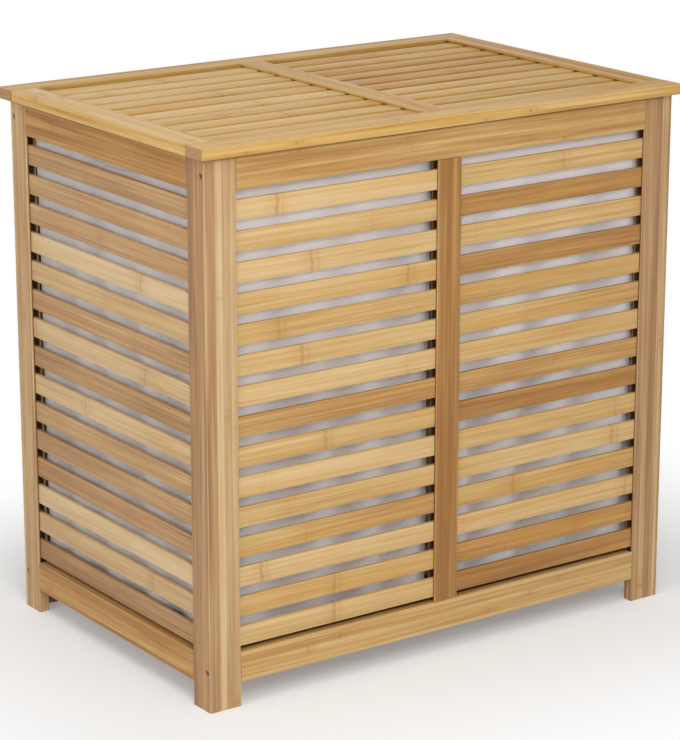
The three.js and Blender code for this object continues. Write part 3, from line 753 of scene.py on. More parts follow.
def shank_bores(y):
    return [((HEAD_BORE_END + PAST, y, z), SHANK_BORE_END, SHANK_BORE) for z in CORNER_SCREW_HEIGHTS]


def stepped_bores(y):
    """The bores of one corner, for the right half of the hamper: wide for the head, then narrow."""
    face = SIDE + HALF_BOARD + PAST
    heads = [((face, y, z), HEAD_BORE_END, HEAD_BORE) for z in CORNER_SCREW_HEIGHTS]
    return [bore for pair in zip(heads, shank_bores(y)) for bore in pair]


stiles = {}
for side, word in SIDES:
    for row, middle in (("front", FRONT), ("back", BACK)):
        stiles[f"{row}_{word}_stile"] = make_stile(
            f"{row}_{word}_stile", side, f"{row}_end",
            (STILE_INNER, middle - HALF_BOARD, 0), (STILE_OUTER, middle + HALF_BOARD, STILE_TOP),
            bores=shank_bores(middle),
        )
    stiles[f"{word}_front_stile"] = make_stile(
        f"{word}_front_stile", side, "side_front",
        (SIDE - HALF_BOARD, SIDE_STILE_FRONT, 0), (SIDE + HALF_BOARD, SIDE_STILE_BACK, STILE_TOP),
        bores=stepped_bores(FRONT),
    )
    stiles[f"lid_{word}_stile"] = make_stile(
        f"lid_{word}_stile", side, "lid_end",
        (LID_STILE_INNER, -LID_STILE_HALF_LENGTH, LID - HALF_BOARD),
        (LID_STILE_OUTER, LID_STILE_HALF_LENGTH, LID + HALF_BOARD),
        tenons=LID_TENONS,
    )
print("stiles", len(stiles), "with", sum(len(s.data.polygons) for s in stiles.values()), "faces")

# %% [markdown]
# ## Slats
# A slat is one strip of bamboo with its long edges rounded over. A field repeats it at an even
# pitch, so it is made with Geometry Nodes: a rounded outline swept along the slat, one copy for
# each step, and for each copy a random tone, a number for its pattern and a very small turn,
# like real slats that sit a little loose in their grooves. Each point keeps its place in its own
# slat, which the bamboo material reads.

# %% Slat field group
SLAT_TURN = 0.0007
SEED_STRIDE = 31.0


def chance(low, high, seed, kind="FLOAT"):
    """A random value between two limits for each point."""
    node = put(seed.tree, "FunctionNodeRandomValue", data_type=kind, Seed=seed)
    limits = [socket for socket in node.inputs if socket.enabled]
    limits[0].default_value, limits[1].default_value = low, high
    return Value(next(socket for socket in node.outputs if socket.enabled))


def remember(geometry, name, value, kind="FLOAT", domain="POINT"):
    """Keeps a value on the geometry as a named attribute, for the material to read."""
    return flow(geometry.tree, "GeometryNodeStoreNamedAttribute", data_type=kind, domain=domain,
                Geometry=geometry, Name=name, Value=value)


def close_group(tree, geometry, material):
    """The end of a geometry group: real copies with their material on."""
    real = flow(tree, "GeometryNodeRealizeInstances", Geometry=geometry)
    done = flow(tree, "GeometryNodeSetMaterial", Geometry=real, Material=material)
    put(tree, "NodeGroupOutput", Geometry=done)


def make_slat_field_group():
    tree, given = new_group(
        "GeometryNodeTree", "slat_field",
        {
            "Geometry": None, "Count": 15, "Pitch": 0.032, "Length": 0.26, "Height": 0.022,
            "Thickness": 0.006, "Easing": 0.0007, "Tone": 0.4, "Spread": 0.4, "Seed": 1,
            "Place": ORIGIN, "Turn": ORIGIN, "Material": None,
        },
        ("Geometry",),
    )
    outline = flow(tree, "GeometryNodeCurvePrimitiveQuadrilateral", Width=given["Height"],
                   Height=given["Thickness"])
    rounded = flow(tree, "GeometryNodeFilletCurve", mode="POLY", Curve=outline, Count=ROUND_STEPS,
                   Radius=given["Easing"])
    half = given["Length"] * 0.5
    path = flow(tree, "GeometryNodeCurvePrimitiveLine", Start=combine(tree, half * -1.0),
                End=combine(tree, half))
    swept = flow(tree, "GeometryNodeCurveToMesh", Curve=path, Profile_Curve=rounded, Fill_Caps=True)
    slat = remember(swept, "board", flow(tree, "GeometryNodeInputPosition"), "FLOAT_VECTOR")
    slat = remember(slat, "half_height", given["Height"] * 0.5)
    steps = flow(tree, "GeometryNodeMeshLine", Count=given["Count"], Offset=combine(tree, y=given["Pitch"]))
    tilt = chance((0.0, 0.0, -SLAT_TURN), (0.0, 0.0, SLAT_TURN), given["Seed"], "FLOAT_VECTOR")
    copies = flow(tree, "GeometryNodeInstanceOnPoints", Points=steps, Instance=slat, Rotation=tilt)
    tone = given["Tone"] + chance(-1.0, 1.0, given["Seed"]) * given["Spread"]
    number = flow(tree, "GeometryNodeInputIndex") + given["Seed"] * SEED_STRIDE
    field = remember(copies, "tone", tone, domain="INSTANCE")
    field = remember(field, "seed", number, domain="INSTANCE")
    placed = flow(tree, "GeometryNodeTransform", Geometry=field, Translation=given["Place"],
                  Rotation=given["Turn"])
    close_group(tree, placed, given["Material"])
    return tree


def grow(name, tree, mesh=None, **values):
    """Runs a geometry group, on a mesh or on none, and keeps the result as a plain mesh."""
    made = add_object(name, mesh or bpy.data.meshes.new(name))
    modifier = made.modifiers.new(tree.name, "NODES")
    modifier.node_group = tree
    for item in tree.interface.items_tree:
        if item.in_out == "INPUT" and item.name in values:
            modifier[item.identifier] = values[item.name]
    return as_plain_mesh(made)


slat_group = make_slat_field_group()
print("slat field group with", len(slat_group.nodes), "nodes")

# %% [markdown]
# The slat material reads the numbers that each slat carries. A slat is a single wide strip, so
# the strip width is larger than the slat and no glue line shows. The slats of the lid are the
# fullest in colour, and those of the side walls the palest.

# %% Slat materials
SLAT_STRIP = 0.1
SLAT_CONTRAST = 0.1
SLAT_AMBER = 0.55
SLAT_JOINT_SPACING = 0.23


def make_slat_material(name, richness):
    material, tree = new_material(name)

    def carried(attribute, output="Fac"):
        return flows(tree, "ShaderNodeAttribute", attribute_type="GEOMETRY", attribute_name=attribute)[output]

    bamboo_shader(
        tree, carried("board", "Vector"), carried("seed"), carried("tone"),
        Strip_Width=SLAT_STRIP, Layer_Height=SLAT_STRIP, Contrast=SLAT_CONTRAST, Amber=SLAT_AMBER,
        Joint_Spacing=SLAT_JOINT_SPACING, Half_Width=carried("half_height"),
        Half_Depth=SLAT_THICKNESS / 2 * MM, Richness=richness,
    )
    return material


slat_materials = {
    kind: make_slat_material(f"{kind}_slat_bamboo", richness)
    for kind, richness in (("wall", 1.0), ("side", SIDE_RICHNESS), ("lid", LID_RICHNESS))
}
print("slat materials", len(slat_materials))

# %% [markdown]
# There are eight fields: two in the front, two in the back, one on each side and two in the lid.
# All come from the one group, each with its own count, length, place, turn and tone.

# %% Slat fields
WALL_ROWS = {"Count": 15, "Pitch": 32.447 * MM, "Height": 21.5 * MM, "Spread": 0.38}
LID_ROWS = {"Count": 10, "Pitch": 34.364 * MM, "Height": 24.0 * MM, "Spread": 0.16}
FIELD_KINDS = {
    "wall": ((math.pi / 2, 0.0, 0.0), WALL_ROWS),
    "side": ((math.pi / 2, 0.0, math.pi / 2), WALL_ROWS),
    "lid": (ORIGIN, LID_ROWS),
}
WALL_FIRST = 76.75
LID_FIRST = -154.64
END_SLACK = 0.1
FRONT_SPAN = (9.6, 273.7 - END_SLACK)
SIDE_SPAN = (-175 + END_SLACK, 164.7)
SIDE_SPAN_MIDDLE = -5.15
LID_SPAN = (9.3, 284 - END_SLACK)
FRONT_TONE, FRONT_TONE_STEP = 0.47, 0.09
LID_TONE, LID_TONE_STEP = 0.36, 0.07
BACK_TONE = 0.4
SIDE_TONE = 0.5
FRONT_SEED, BACK_SEED, SIDE_SEED, LID_SEED = 20, 30, 40, 50


def make_field(name, kind, span, place, tone, seed):
    """Slats that reach over a span. place is the middle of the first one, in millimetres."""
    turn, rows = FIELD_KINDS[kind]
    return grow(
        name, slat_group, **rows, Length=(span[1] - span[0]) * MM, Thickness=SLAT_THICKNESS * MM,
        Easing=EASING * MM, Tone=tone, Seed=seed, Place=tuple(v * MM for v in place), Turn=turn,
        Material=slat_materials[kind],
    )


fields = {}
for side, word in SIDES:
    front_tone = FRONT_TONE + FRONT_TONE_STEP * side
    rows = (("front", FRONT, front_tone, FRONT_SEED), ("back", BACK, BACK_TONE, BACK_SEED))
    for row, depth, tone, seed in rows:
        fields[f"{row}_{word}_stile"] = make_field(
            f"{row}_{word}_slats", "wall", FRONT_SPAN, (sum(FRONT_SPAN) / 2 * side, depth, WALL_FIRST),
            tone, seed + side)
    fields[f"{word}_front_stile"] = make_field(
        f"{word}_side_slats", "side", SIDE_SPAN, (SIDE * side, SIDE_SPAN_MIDDLE, WALL_FIRST),
        SIDE_TONE, SIDE_SEED + side)
    fields[f"lid_{word}_stile"] = make_field(
        f"lid_{word}_slats", "lid", LID_SPAN, (sum(LID_SPAN) / 2 * side, LID_FIRST, LID),
        LID_TONE + LID_TONE_STEP * side, LID_SEED + side)
print("slats", WALL_ROWS["Count"] * 6 + LID_ROWS["Count"] * 2, "in", len(fields), "fields")

# %% [markdown]
# In the construction a stile and the slats that are glued into it are one solid, so both pieces
# replace that solid. Those of the lid ride with the lid when it opens, and the others with the
# box. Each stile gets its own piece of bamboo, like the boards before.

# %% Stiles and slats in place
STILE_LOOKS = {  # the groove, the half of the hamper and the tone
    "front_left_stile": ("front_end", -1, 0.4), "front_right_stile": ("front_end", 1, 0.72),
    "back_left_stile": ("back_end", -1, 0.5), "back_right_stile": ("back_end", 1, 0.55),
    "left_front_stile": ("side_front", -1, 0.84), "right_front_stile": ("side_front", 1, 0.6),
    "lid_left_stile": ("lid_end", -1, 0.3), "lid_right_stile": ("lid_end", 1, 0.5),
}
FIRST_STILE_SEED = 60.0

for seed, (name, (groove, side, tone)) in enumerate(STILE_LOOKS.items()):
    stile = stiles[name]
    corners = [Vector(corner) for corner in stile.bound_box]
    low, high = (Vector(pick(c[axis] for c in corners) for axis in (X, Y, Z)) for pick in (min, max))
    stile.data.materials.clear()
    stile.data.materials.append(board_material(
        name, low, high, Y if name.startswith("lid") else Z, seed + FIRST_STILE_SEED, tone,
        # painted shade in the groove and the painted shadow under the lid
        painted_shade=shade_painted_places(name, groove, (side,)),
    ))
    for piece in (stile, fields[name]):
        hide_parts(f"{name}_with_slats")
        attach(piece, "lid" if name.startswith("lid") else "box")
print("stiles and fields in place", 2 * len(STILE_LOOKS))

# %% [markdown]
# ## Plywood base and steel
# The base is a thin sheet of bamboo plywood, so it shows wide strips and little else. The rods
# and hinges are zinc-plated steel: grey, with fine draw marks along them and a soft shine.

# %% Base and steel
PLYWOOD_STRIP = 22 * MM
PLYWOOD_CONTRAST = 0.3
PLYWOOD_TONE = 0.6
PLYWOOD_SEED = 90.0
STEEL_COLOUR = (0.52, 0.51, 0.49, 1)
SCREW_COLOUR = (0.3, 0.29, 0.28, 1)
DULL_STEEL = (0.36, 0.35, 0.34, 1)
ROD_MARKS = (4.0, 900.0, 900.0)
LEAF_MARKS = (60.0, 700.0, 700.0)
SCREW_MARKS = (300.0, 300.0, 300.0)
DULL_PATCHES = ((120, 120, 120), *FINE)
DULL_SHARE = 0.35
STEEL_ROUGHNESS = 0.24
MARK_ROUGHNESS = 0.22
DULL_ROUGHNESS = 0.12
STEEL_BUMP = (0.25, 0.00005)

dress("base_board", board_material(
    "base_plywood", *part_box("base_board"), X, PLYWOOD_SEED, PLYWOOD_TONE,
    strip=PLYWOOD_STRIP, contrast=PLYWOOD_CONTRAST,
))


def make_steel_group():
    tree, given = new_group(
        "ShaderNodeTree", "worn_steel",
        {"Place": ORIGIN, "Tint": STEEL_COLOUR, "Brushed Along": ROD_MARKS},
        ("Color", "Roughness", "Height"),
    )
    lines = noise(given["Place"], given["Brushed Along"], *FINE)
    dull = noise(given["Place"], *DULL_PATCHES)
    colour = blend(dull * DULL_SHARE, given["Tint"], DULL_STEEL)
    roughness = STEEL_ROUGHNESS + lines * MARK_ROUGHNESS + dull * DULL_ROUGHNESS
    put(tree, "NodeGroupOutput", Color=colour, Roughness=roughness, Height=lines)
    return tree


steel_group = make_steel_group()


def steel_material(name, tint, brushed_along):
    material, tree = new_material(name)
    place = flows(tree, "ShaderNodeTexCoord")["Object"]
    look = use_group(tree, steel_group, Place=place, Tint=tint, Brushed_Along=brushed_along)
    surface(tree, look["Height"], *STEEL_BUMP, Base_Color=look["Color"], Roughness=look["Roughness"],
            Metallic=1.0)
    return material


rod_steel = steel_material("rod_steel", STEEL_COLOUR, ROD_MARKS)
leaf_steel = steel_material("hinge_steel", STEEL_COLOUR, LEAF_MARKS)
screw_steel = steel_material("screw_steel", SCREW_COLOUR, SCREW_MARKS)
steels = {"_rod": rod_steel, "leaf": leaf_steel, "_pin": leaf_steel, "screw": screw_steel}
metal = [(name, part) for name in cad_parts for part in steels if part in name]
for name, part in metal:
    dress(name, steels[part])
print("steel on", len(metal), "rods, hinge parts and screws")

# %% [markdown]
# ## Liner bags
# Each bin is a bag of plain woven cloth. It is sewn as a box: four walls and a bottom, with a
# casing along the front and the back edge that a steel rod slides through. Hung up, it falls
# straight from the rods. Its two end walls have no rod, so their upper edge sags between them,
# and the bottom hangs free, a little above the base. A cloth that hangs like this falls in long
# shallow folds that start small at the top and grow on the way down. A cloth simulation could
# make them too, but a rule gives the same folds on every run, and keeps them out of the slats.

# %% Liner sizes
LINER_INNER, LINER_OUTER = 11.0, 278.7
LINER_FRONT, LINER_BACK = -185.3, 175.3
LINER_TOP = 569.0
LINER_BOTTOMS = {"left": 72.0, "right": 66.0}
LINER_MIDDLE = ((LINER_INNER + LINER_OUTER) / 2, (LINER_FRONT + LINER_BACK) / 2)
LINER_HALF = ((LINER_OUTER - LINER_INNER) / 2, (LINER_BACK - LINER_FRONT) / 2)
LINER_CORNER = 8.0
LINER_TAPER = 3.0
CLOTH_THICKNESS = 0.9
RINGS = 74
BOTTOM_RINGS = 24
CORNER_STEPS = 7
END_WALL_STEPS = 54
FRONT_WALL_STEPS = 40

# %% [markdown]
# The outline of a bag seen from above is a rectangle with rounded corners. `rounded_outline`
# gives the points round it and which way is out at each of them.

# %% Liner outline
CORNERS = ((1, -1, -90), (1, 1, 0), (-1, 1, 90), (-1, -1, 180))


def rounded_outline(half_x, half_y):
    """Points round a rectangle with rounded corners: (x, y, out_x, out_y), counter-clockwise."""
    points = []
    straight_x, straight_y = half_x - LINER_CORNER, half_y - LINER_CORNER
    for index, (way_x, way_y, start) in enumerate(CORNERS):
        for step in range(CORNER_STEPS + 1):
            angle = math.radians(start + 90 * step / CORNER_STEPS)
            out_x, out_y = math.cos(angle), math.sin(angle)
            x, y = way_x * straight_x + LINER_CORNER * out_x, way_y * straight_y + LINER_CORNER * out_y
            points.append((x, y, out_x, out_y))
        next_x, next_y, _ = CORNERS[(index + 1) % 4]
        run_x, run_y = (next_x - way_x) * straight_x, (next_y - way_y) * straight_y
        count = (END_WALL_STEPS, FRONT_WALL_STEPS)[index % 2]
        for step in range(1, count):
            points.append((x + run_x * step / count, y + run_y * step / count, out_x, out_y))
    return points


print("points round a bag", len(rounded_outline(*LINER_HALF)))

# %% [markdown]
# Each wall gets two rules. The folds push it inwards, with waves whose width and place drift on
# the way down. The belly lets it swell outwards between the corners, the rail and the bottom,
# as far as the slats leave room.

# %% Folds and bellies
FOLD_DEPTH = 11.0
FOLD_WIDTH = 74.0
FOLD_GROWTH = 1.5
FOLD_SHARE, SMALL_FOLD_SHARE, SLACK_SHARE = 0.7, 0.42, 0.35
FOLD_OFFSET = 0.04
END_FOLDS = 0.75
FLAT_SPOTS = 0.03
FOLD_START = 0.04
END_FOLD_START = 0.16
RAIL_CLEAR = 11.0
BELLY_END = 0.012

# Each of these is how fine it is along the wall and how fast it changes on the way down.
WAVE_DRIFT = (0.011, 0.9)
WAVE_DRIFT_SIZE = 2.4
SMALL_FOLDS = (0.034, 2.2)
SLACK = (0.009, 4.0)


def soft_noise(x, y, z):
    return mathutils_noise.noise(Vector((x, y, z)))


def smooth_step(t):
    t = min(1.0, max(0.0, t))
    return t * t * (3 - 2 * t)


def fold_depth(x, y, drop, start, seed):
    """How far a wall point lies inside the flat wall, in millimetres, at a drop of 0 (top) to 1."""
    def pattern(fineness, change, own_seed):
        return soft_noise(x * fineness, y * fineness, own_seed + drop * change)

    drift = WAVE_DRIFT_SIZE * pattern(*WAVE_DRIFT, seed)
    wave = 0.5 + 0.5 * math.sin(math.tau * (x + y) / FOLD_WIDTH + drift + seed)
    small_folds = pattern(*SMALL_FOLDS, seed * 3)
    slack = pattern(*SLACK, seed * 7)
    share = FOLD_SHARE * wave + SMALL_FOLD_SHARE * small_folds + SLACK_SHARE * slack - FOLD_OFFSET
    growth = min(1.0, start + drop * FOLD_GROWTH)
    return FOLD_DEPTH * growth * 0.5 * (share + math.sqrt(share * share + FLAT_SPOTS))


def belly(to_corner, start, below, drop, depth):
    """How far a slack wall swells out, from how far it is from its corner and its rail."""
    down = smooth_step(below / RAIL_CLEAR) * smooth_step((1.0 - drop) / BELLY_END)
    return depth * smooth_step(to_corner / start) * down


print("folds", FOLD_WIDTH, "mm apart")

# %% [markdown]
# A bag is built ring by ring from the top edge down, and then inwards along the bottom to the
# middle. Each ring is the outline, pushed out and in by the folds, and lowered by the sag. The
# cloth keeps its own measure of length as a UV map in metres, which the weave reads.

# %% Liner rings
END_SAG = 14.0
END_LEAN = 2.0
SAG_SHARE = 5.0
RAIL_BOTTOM = 561.7
CASING_DROP = 14.0
FRONT_BULGES = {"left": 4.4, "right": 5.8}
FRONT_BULGE_START = 22.0
END_BULGE = 15.0
INNER_BULGE = 8.0
END_BULGE_START = 12.0
EDGE_SHARE = 5.0
EDGE_ROUND = 2.0
EDGE_CURL = 2.2
BOTTOM_SAG = 6.5
BOTTOM_SAG_REACH = 1.6
WRINKLE = 3.0
WRINKLE_FINENESS = 0.03
WRINKLE_REACH = 4.0


def bag_ring(side, word, drop, seed):
    """One ring of a wall, at a drop from 0 at the top edge to 1 at the start of the bottom."""
    half_x, half_y = (half - LINER_TAPER * drop for half in LINER_HALF)
    height = LINER_TOP + (LINER_BOTTOMS[word] - LINER_TOP) * drop
    at_top = 1.0 - smooth_step(drop * SAG_SHARE)
    ring = []
    for x, y, out_x, out_y in rounded_outline(half_x, half_y):
        between = smooth_step(1.0 - abs(y) / (half_y - LINER_CORNER)) * abs(out_x) * at_top
        z = height - END_SAG * between
        folds = fold_depth(x, y, drop, FOLD_START + END_FOLD_START * out_x * out_x, seed)
        if abs(out_x) > abs(out_y):
            bulge = END_BULGE if x * side > 0 else INNER_BULGE
            swell = belly(half_y - abs(y), END_BULGE_START, RAIL_BOTTOM - z, drop, bulge)
            folds *= END_FOLDS
        else:
            below = LINER_TOP - CASING_DROP - z
            swell = belly(half_x - abs(x), FRONT_BULGE_START, below, drop, FRONT_BULGES[word])
        depth = swell - folds - END_LEAN * between
        ring.append((side * LINER_MIDDLE[X] + x + out_x * depth, LINER_MIDDLE[Y] + y + out_y * depth, z))
    return ring


def bottom_ring(last_wall, middle, inward, bottom, seed):
    """One ring of the bottom, from the wall (0) to the middle (1)."""
    edge = min(1.0, inward * EDGE_SHARE)
    rounding = EDGE_ROUND * math.sqrt(1 - (1 - edge) ** 2) + EDGE_CURL * (1 - math.cos(edge * math.pi / 2))
    height = bottom - rounding - BOTTOM_SAG * smooth_step(inward * BOTTOM_SAG_REACH)
    ring = []
    for x, y, _ in last_wall:
        x, y = x + (middle[X] - x) * inward, y + (middle[Y] - y) * inward
        wrinkle = WRINKLE * soft_noise(x * WRINKLE_FINENESS, y * WRINKLE_FINENESS, seed * 5)
        ring.append((x, y, height + wrinkle * smooth_step(inward * WRINKLE_REACH) * (1 - inward)))
    return ring


# %% [markdown]
# Rings or columns of points become a skin, and the skin becomes cloth: `thicken` gives it a
# thickness with a Solidify modifier, inwards for the bag and both ways for the strips on it.

# %% Liner bags
def distance(first, second):
    return (Vector(first) - Vector(second)).length * MM


def sheet_mesh(name, rings, closed=False):
    """A skin over rings of points in millimetres, with a UV map in metres of cloth."""
    first, count = rings[0], len(rings[0])
    steps = count if closed else count - 1
    lengths = [0.0]
    for column in range(steps):
        lengths.append(lengths[-1] + distance(first[column], first[(column + 1) % count]))
    row_step = distance(rings[0][0], rings[1][0])
    faces, uvs = [], []
    for row in range(len(rings) - 1):
        above, below = row * count, (row + 1) * count
        high, low = row * row_step, (row + 1) * row_step
        for column in range(steps):
            after = (column + 1) % count
            faces.append((above + column, below + column, below + after, above + after))
            left, right = lengths[column], lengths[column + 1]
            uvs.extend(((left, high), (left, low), (right, low), (right, high)))
    mesh = bpy.data.meshes.new(name)
    mesh.from_pydata([Vector(point) * MM for ring in rings for point in ring], [], faces)
    layer = mesh.uv_layers.new(name="cloth")
    for loop, uv in zip(layer.data, uvs):
        loop.uv = uv
    mesh.update(calc_edges=True)
    return mesh


def smooth(mesh):
    mesh.polygons.foreach_set("use_smooth", [True] * len(mesh.polygons))


def thicken(mesh, thickness, offset):
    """Makes a skin a piece of cloth, with its thickness in millimetres. Offset -1 is inwards."""
    smooth(mesh)
    piece = add_object(mesh.name, mesh)
    solidify = piece.modifiers.new("thickness", "SOLIDIFY")
    solidify.thickness = thickness * MM
    solidify.offset = offset
    return as_plain_mesh(piece)


def make_bag(side, word, seed):
    bottom = LINER_BOTTOMS[word]
    rings = [bag_ring(side, word, step / RINGS, seed) for step in range(RINGS + 1)]
    middle = (side * LINER_MIDDLE[X], LINER_MIDDLE[Y])
    for step in range(1, BOTTOM_RINGS + 1):
        rings.append(bottom_ring(rings[RINGS], middle, step / (BOTTOM_RINGS + 0.5), bottom, seed))
    mesh = sheet_mesh(f"{word}_bag", rings, closed=True)
    shape = bmesh.new()
    shape.from_mesh(mesh)
    shape.verts.ensure_lookup_table()
    shape.faces.new(shape.verts[-len(rings[0]):])
    bmesh.ops.recalc_face_normals(shape, faces=shape.faces)
    shape.to_mesh(mesh)
    shape.free()
    return thicken(mesh, CLOTH_THICKNESS, -1.0)


# %% [markdown]
# The casing is a doubled strip sewn over the bag's edge. It goes up outside the wall, round the
# rod and down inside it, and puckers a little where it is gathered on the rod.

# %% Casings
STRIP_THICKNESS = 0.6
CASING_START = 12.0
CASING_RADIUS = 4.6
CASING_OUTSIDE = 0.5
CASING_INSIDE = 2.2
CASING_ARC = (-10, 200)
CASING_ARC_STEPS = 14
CASING_LEAN = 0.6
CASING_SHOULDER = 4.0
CASING_COLUMNS = 90
ROD_HEIGHT = 573.7
PUCKER, PUCKER_FINENESS = 0.35, 0.11
SMALL_PUCKER, SMALL_PUCKER_FINENESS = 0.2, 0.35
PUCKER_LIFT = 0.3
CASING_ROWS = {-1: ("front", LINER_FRONT, -180.7), 1: ("back", LINER_BACK, 170.7)}


def make_casing(side, word, out, seed):
    """The casing of the front edge (out is -1) or of the back edge (1)."""
    row, wall, rod = CASING_ROWS[out]
    start, end = LINER_INNER + CASING_START, LINER_OUTER - CASING_START
    outside, inside = wall + out * CASING_OUTSIDE, wall - out * CASING_INSIDE
    lower_edge = LINER_TOP - CASING_DROP
    columns = []
    for column in range(CASING_COLUMNS + 1):
        x = side * (start + (end - start) * column / CASING_COLUMNS)
        pucker = PUCKER * soft_noise(x * PUCKER_FINENESS, out * 3.0, seed)
        pucker += SMALL_PUCKER * soft_noise(x * SMALL_PUCKER_FINENESS, out, seed)
        radius = CASING_RADIUS + pucker
        path = [(outside, lower_edge), (outside, LINER_TOP - CASING_DROP * 0.5)]
        for step in range(CASING_ARC_STEPS + 1):
            angle = math.radians(CASING_ARC[0] + CASING_ARC[1] * step / CASING_ARC_STEPS)
            path.append((rod + out * radius * math.cos(angle), ROD_HEIGHT + radius * math.sin(angle)))
        path.append((inside - out * CASING_LEAN, LINER_TOP - CASING_SHOULDER))
        path.append((inside, LINER_TOP - CASING_DROP * 0.6))
        path.append((inside, lower_edge))
        columns.append([(x, y, z + PUCKER_LIFT * pucker) for y, z in path])
    return thicken(sheet_mesh(f"{word}_{row}_casing", columns), STRIP_THICKNESS, 0.0)


# %% [markdown]
# The two end walls have no casing. Their upper edge is turned over into a narrow hem, so that it
# doesn't fray. The hem follows the sagging edge: up outside the wall, over it and down inside.

# %% Hems
HEM_DROP = 12.0
HEM_STEPS = 4
HEM_OUTSIDE = 0.45
HEM_INSIDE = 1.35
HEM_RISE = 0.7


def end_wall(side, word, out, below_top, seed):
    """The points of the end wall that faces out (-1 or 1 along X), some millimetres below the top."""
    ring = bag_ring(side, word, below_top / (LINER_TOP - LINER_BOTTOMS[word]), seed)
    first = CORNER_STEPS + (0 if out > 0 else len(ring) // 2)
    return ring[first:first + END_WALL_STEPS + 1]


def shifted(wall, distance):
    return [(x + distance, y, z) for x, y, z in wall]


def make_hem(side, word, out, seed):
    rows = [end_wall(side, word, out, HEM_DROP * step / HEM_STEPS, seed) for step in range(HEM_STEPS + 1)]
    columns = []
    for wall in zip(*rows):
        x, y, z = wall[0]
        over = (x - out * (HEM_INSIDE - HEM_OUTSIDE) / 2, y, z + HEM_RISE)
        columns.append([*shifted(wall[::-1], out * HEM_OUTSIDE), over, *shifted(wall, -out * HEM_INSIDE)])
    name = f"{word}_{'outer' if out == side else 'inner'}_hem"
    return thicken(sheet_mesh(name, columns), STRIP_THICKNESS, 0.0)


# %% [markdown]
# A lockstitch machine sews the casings and hems down. The thread dips through the cloth and
# comes up again every few millimetres, so what shows is a row of short slanting beads. Here a
# row is a line of points, and Geometry Nodes put one bead at each step along it, with a small
# random slant. All rows of one bag become one mesh.

# %% Stitches
STITCH_LENGTH = 2.3 * MM
STITCH_STEP = 3.2 * MM
STITCH_START = 18.0
THREAD_WIDTH = 0.5 * MM
THREAD_LIFT = 0.45
FROM_EDGE = 2.5
SLANT = 0.12
STITCH_SEED = 3
BEAD_SEGMENTS, BEAD_RINGS = 6, 4


def make_stitch_group():
    tree, given = new_group(
        "GeometryNodeTree", "stitch_row",
        {"Geometry": None, "Step": STITCH_STEP, "Length": STITCH_LENGTH, "Width": THREAD_WIDTH,
         "Seed": 1, "Material": None},
        ("Geometry",),
    )
    line = flow(tree, "GeometryNodeMeshToCurve", Mesh=given["Geometry"])
    steps = flows(tree, "GeometryNodeCurveToPoints", mode="LENGTH", Curve=line, Length=given["Step"])
    bead = flow(tree, "GeometryNodeMeshUVSphere", Segments=BEAD_SEGMENTS, Rings=BEAD_RINGS, Radius=0.5)
    size = combine(tree, given["Width"], given["Width"], given["Length"])
    beads = flow(tree, "GeometryNodeInstanceOnPoints", Points=steps["Points"], Instance=bead,
                 Rotation=steps["Rotation"], Scale=size)
    slant = chance((-SLANT, -SLANT, 0.0), (SLANT, SLANT, 0.0), given["Seed"], "FLOAT_VECTOR")
    turned = flow(tree, "GeometryNodeRotateInstances", Instances=beads, Rotation=slant)
    close_group(tree, turned, given["Material"])
    return tree


stitch_group = make_stitch_group()
print("stitches", round(STITCH_LENGTH / MM, 1), "mm long, one every", round(STITCH_STEP / MM, 1), "mm")


def stitch_rows(side, word, seed):
    """The lines of stitches of one bag, as lists of points in millimetres."""
    rows = []
    start, end = side * (LINER_INNER + STITCH_START), side * (LINER_OUTER - STITCH_START)
    height = LINER_TOP - CASING_DROP + FROM_EDGE
    for out, (_, wall, _) in CASING_ROWS.items():
        for y in (wall + out * (CASING_OUTSIDE + THREAD_LIFT), wall - out * (CASING_INSIDE + THREAD_LIFT)):
            rows.append([(start, y, height), (end, y, height)])
    for out in (-1, 1):
        wall = end_wall(side, word, out, HEM_DROP - FROM_EDGE, seed)
        rows.append(shifted(wall, out * (HEM_OUTSIDE + THREAD_LIFT)))
        rows.append(shifted(wall, -out * (HEM_INSIDE + THREAD_LIFT)))
    return rows


def make_stitches(side, word, seed, material):
    mesh = bpy.data.meshes.new(f"{word}_stitches")
    points, edges = [], []
    for row in stitch_rows(side, word, seed):
        edges.extend((len(points) + step, len(points) + step + 1) for step in range(len(row) - 1))
        points.extend(Vector(point) * MM for point in row)
    mesh.from_pydata(points, edges, [])
    stitches = grow(f"{word}_stitches", stitch_group, mesh, Step=STITCH_STEP, Length=STITCH_LENGTH,
                    Width=THREAD_WIDTH, Seed=STITCH_SEED + side, Material=material)
    smooth(stitches.data)
    return stitches


# %% [markdown]
# The cloth is a plain weave: each thread goes over one and under the next. Close up, the
# threads show as small bumps, and further off the cloth just looks soft and a little uneven.
# A little light comes through it, so it glows softly from within.

# %% Cloth material
THREAD_PITCH = 0.0007
CLOTH_COLOUR = (0.95, 0.94, 0.965, 1)
CLOTH_SHADE = (0.89, 0.87, 0.91, 1)
THREAD_COLOUR = (0.86, 0.85, 0.84, 1)
THREAD_SHADE = (0.68, 0.67, 0.66, 1)
THREAD_TWIST = ((2500, 2500, 2500), 2.0)
THREAD_ROUGHNESS = 0.7
SLUBS = ((9, 9, 40), *FINE)
OVER_SHARE = 0.4
CLOTH_BUMP = (0.35, 0.00015)
CLOTH_FEEL = {
    "Roughness": 0.9, "Sheen_Weight": 0.25, "Sheen_Roughness": 0.5, "Specular_IOR_Level": 0.2,
    "Subsurface_Weight": 0.6, "Subsurface_Radius": (1, 1, 1), "Subsurface_Scale": 0.003,
}


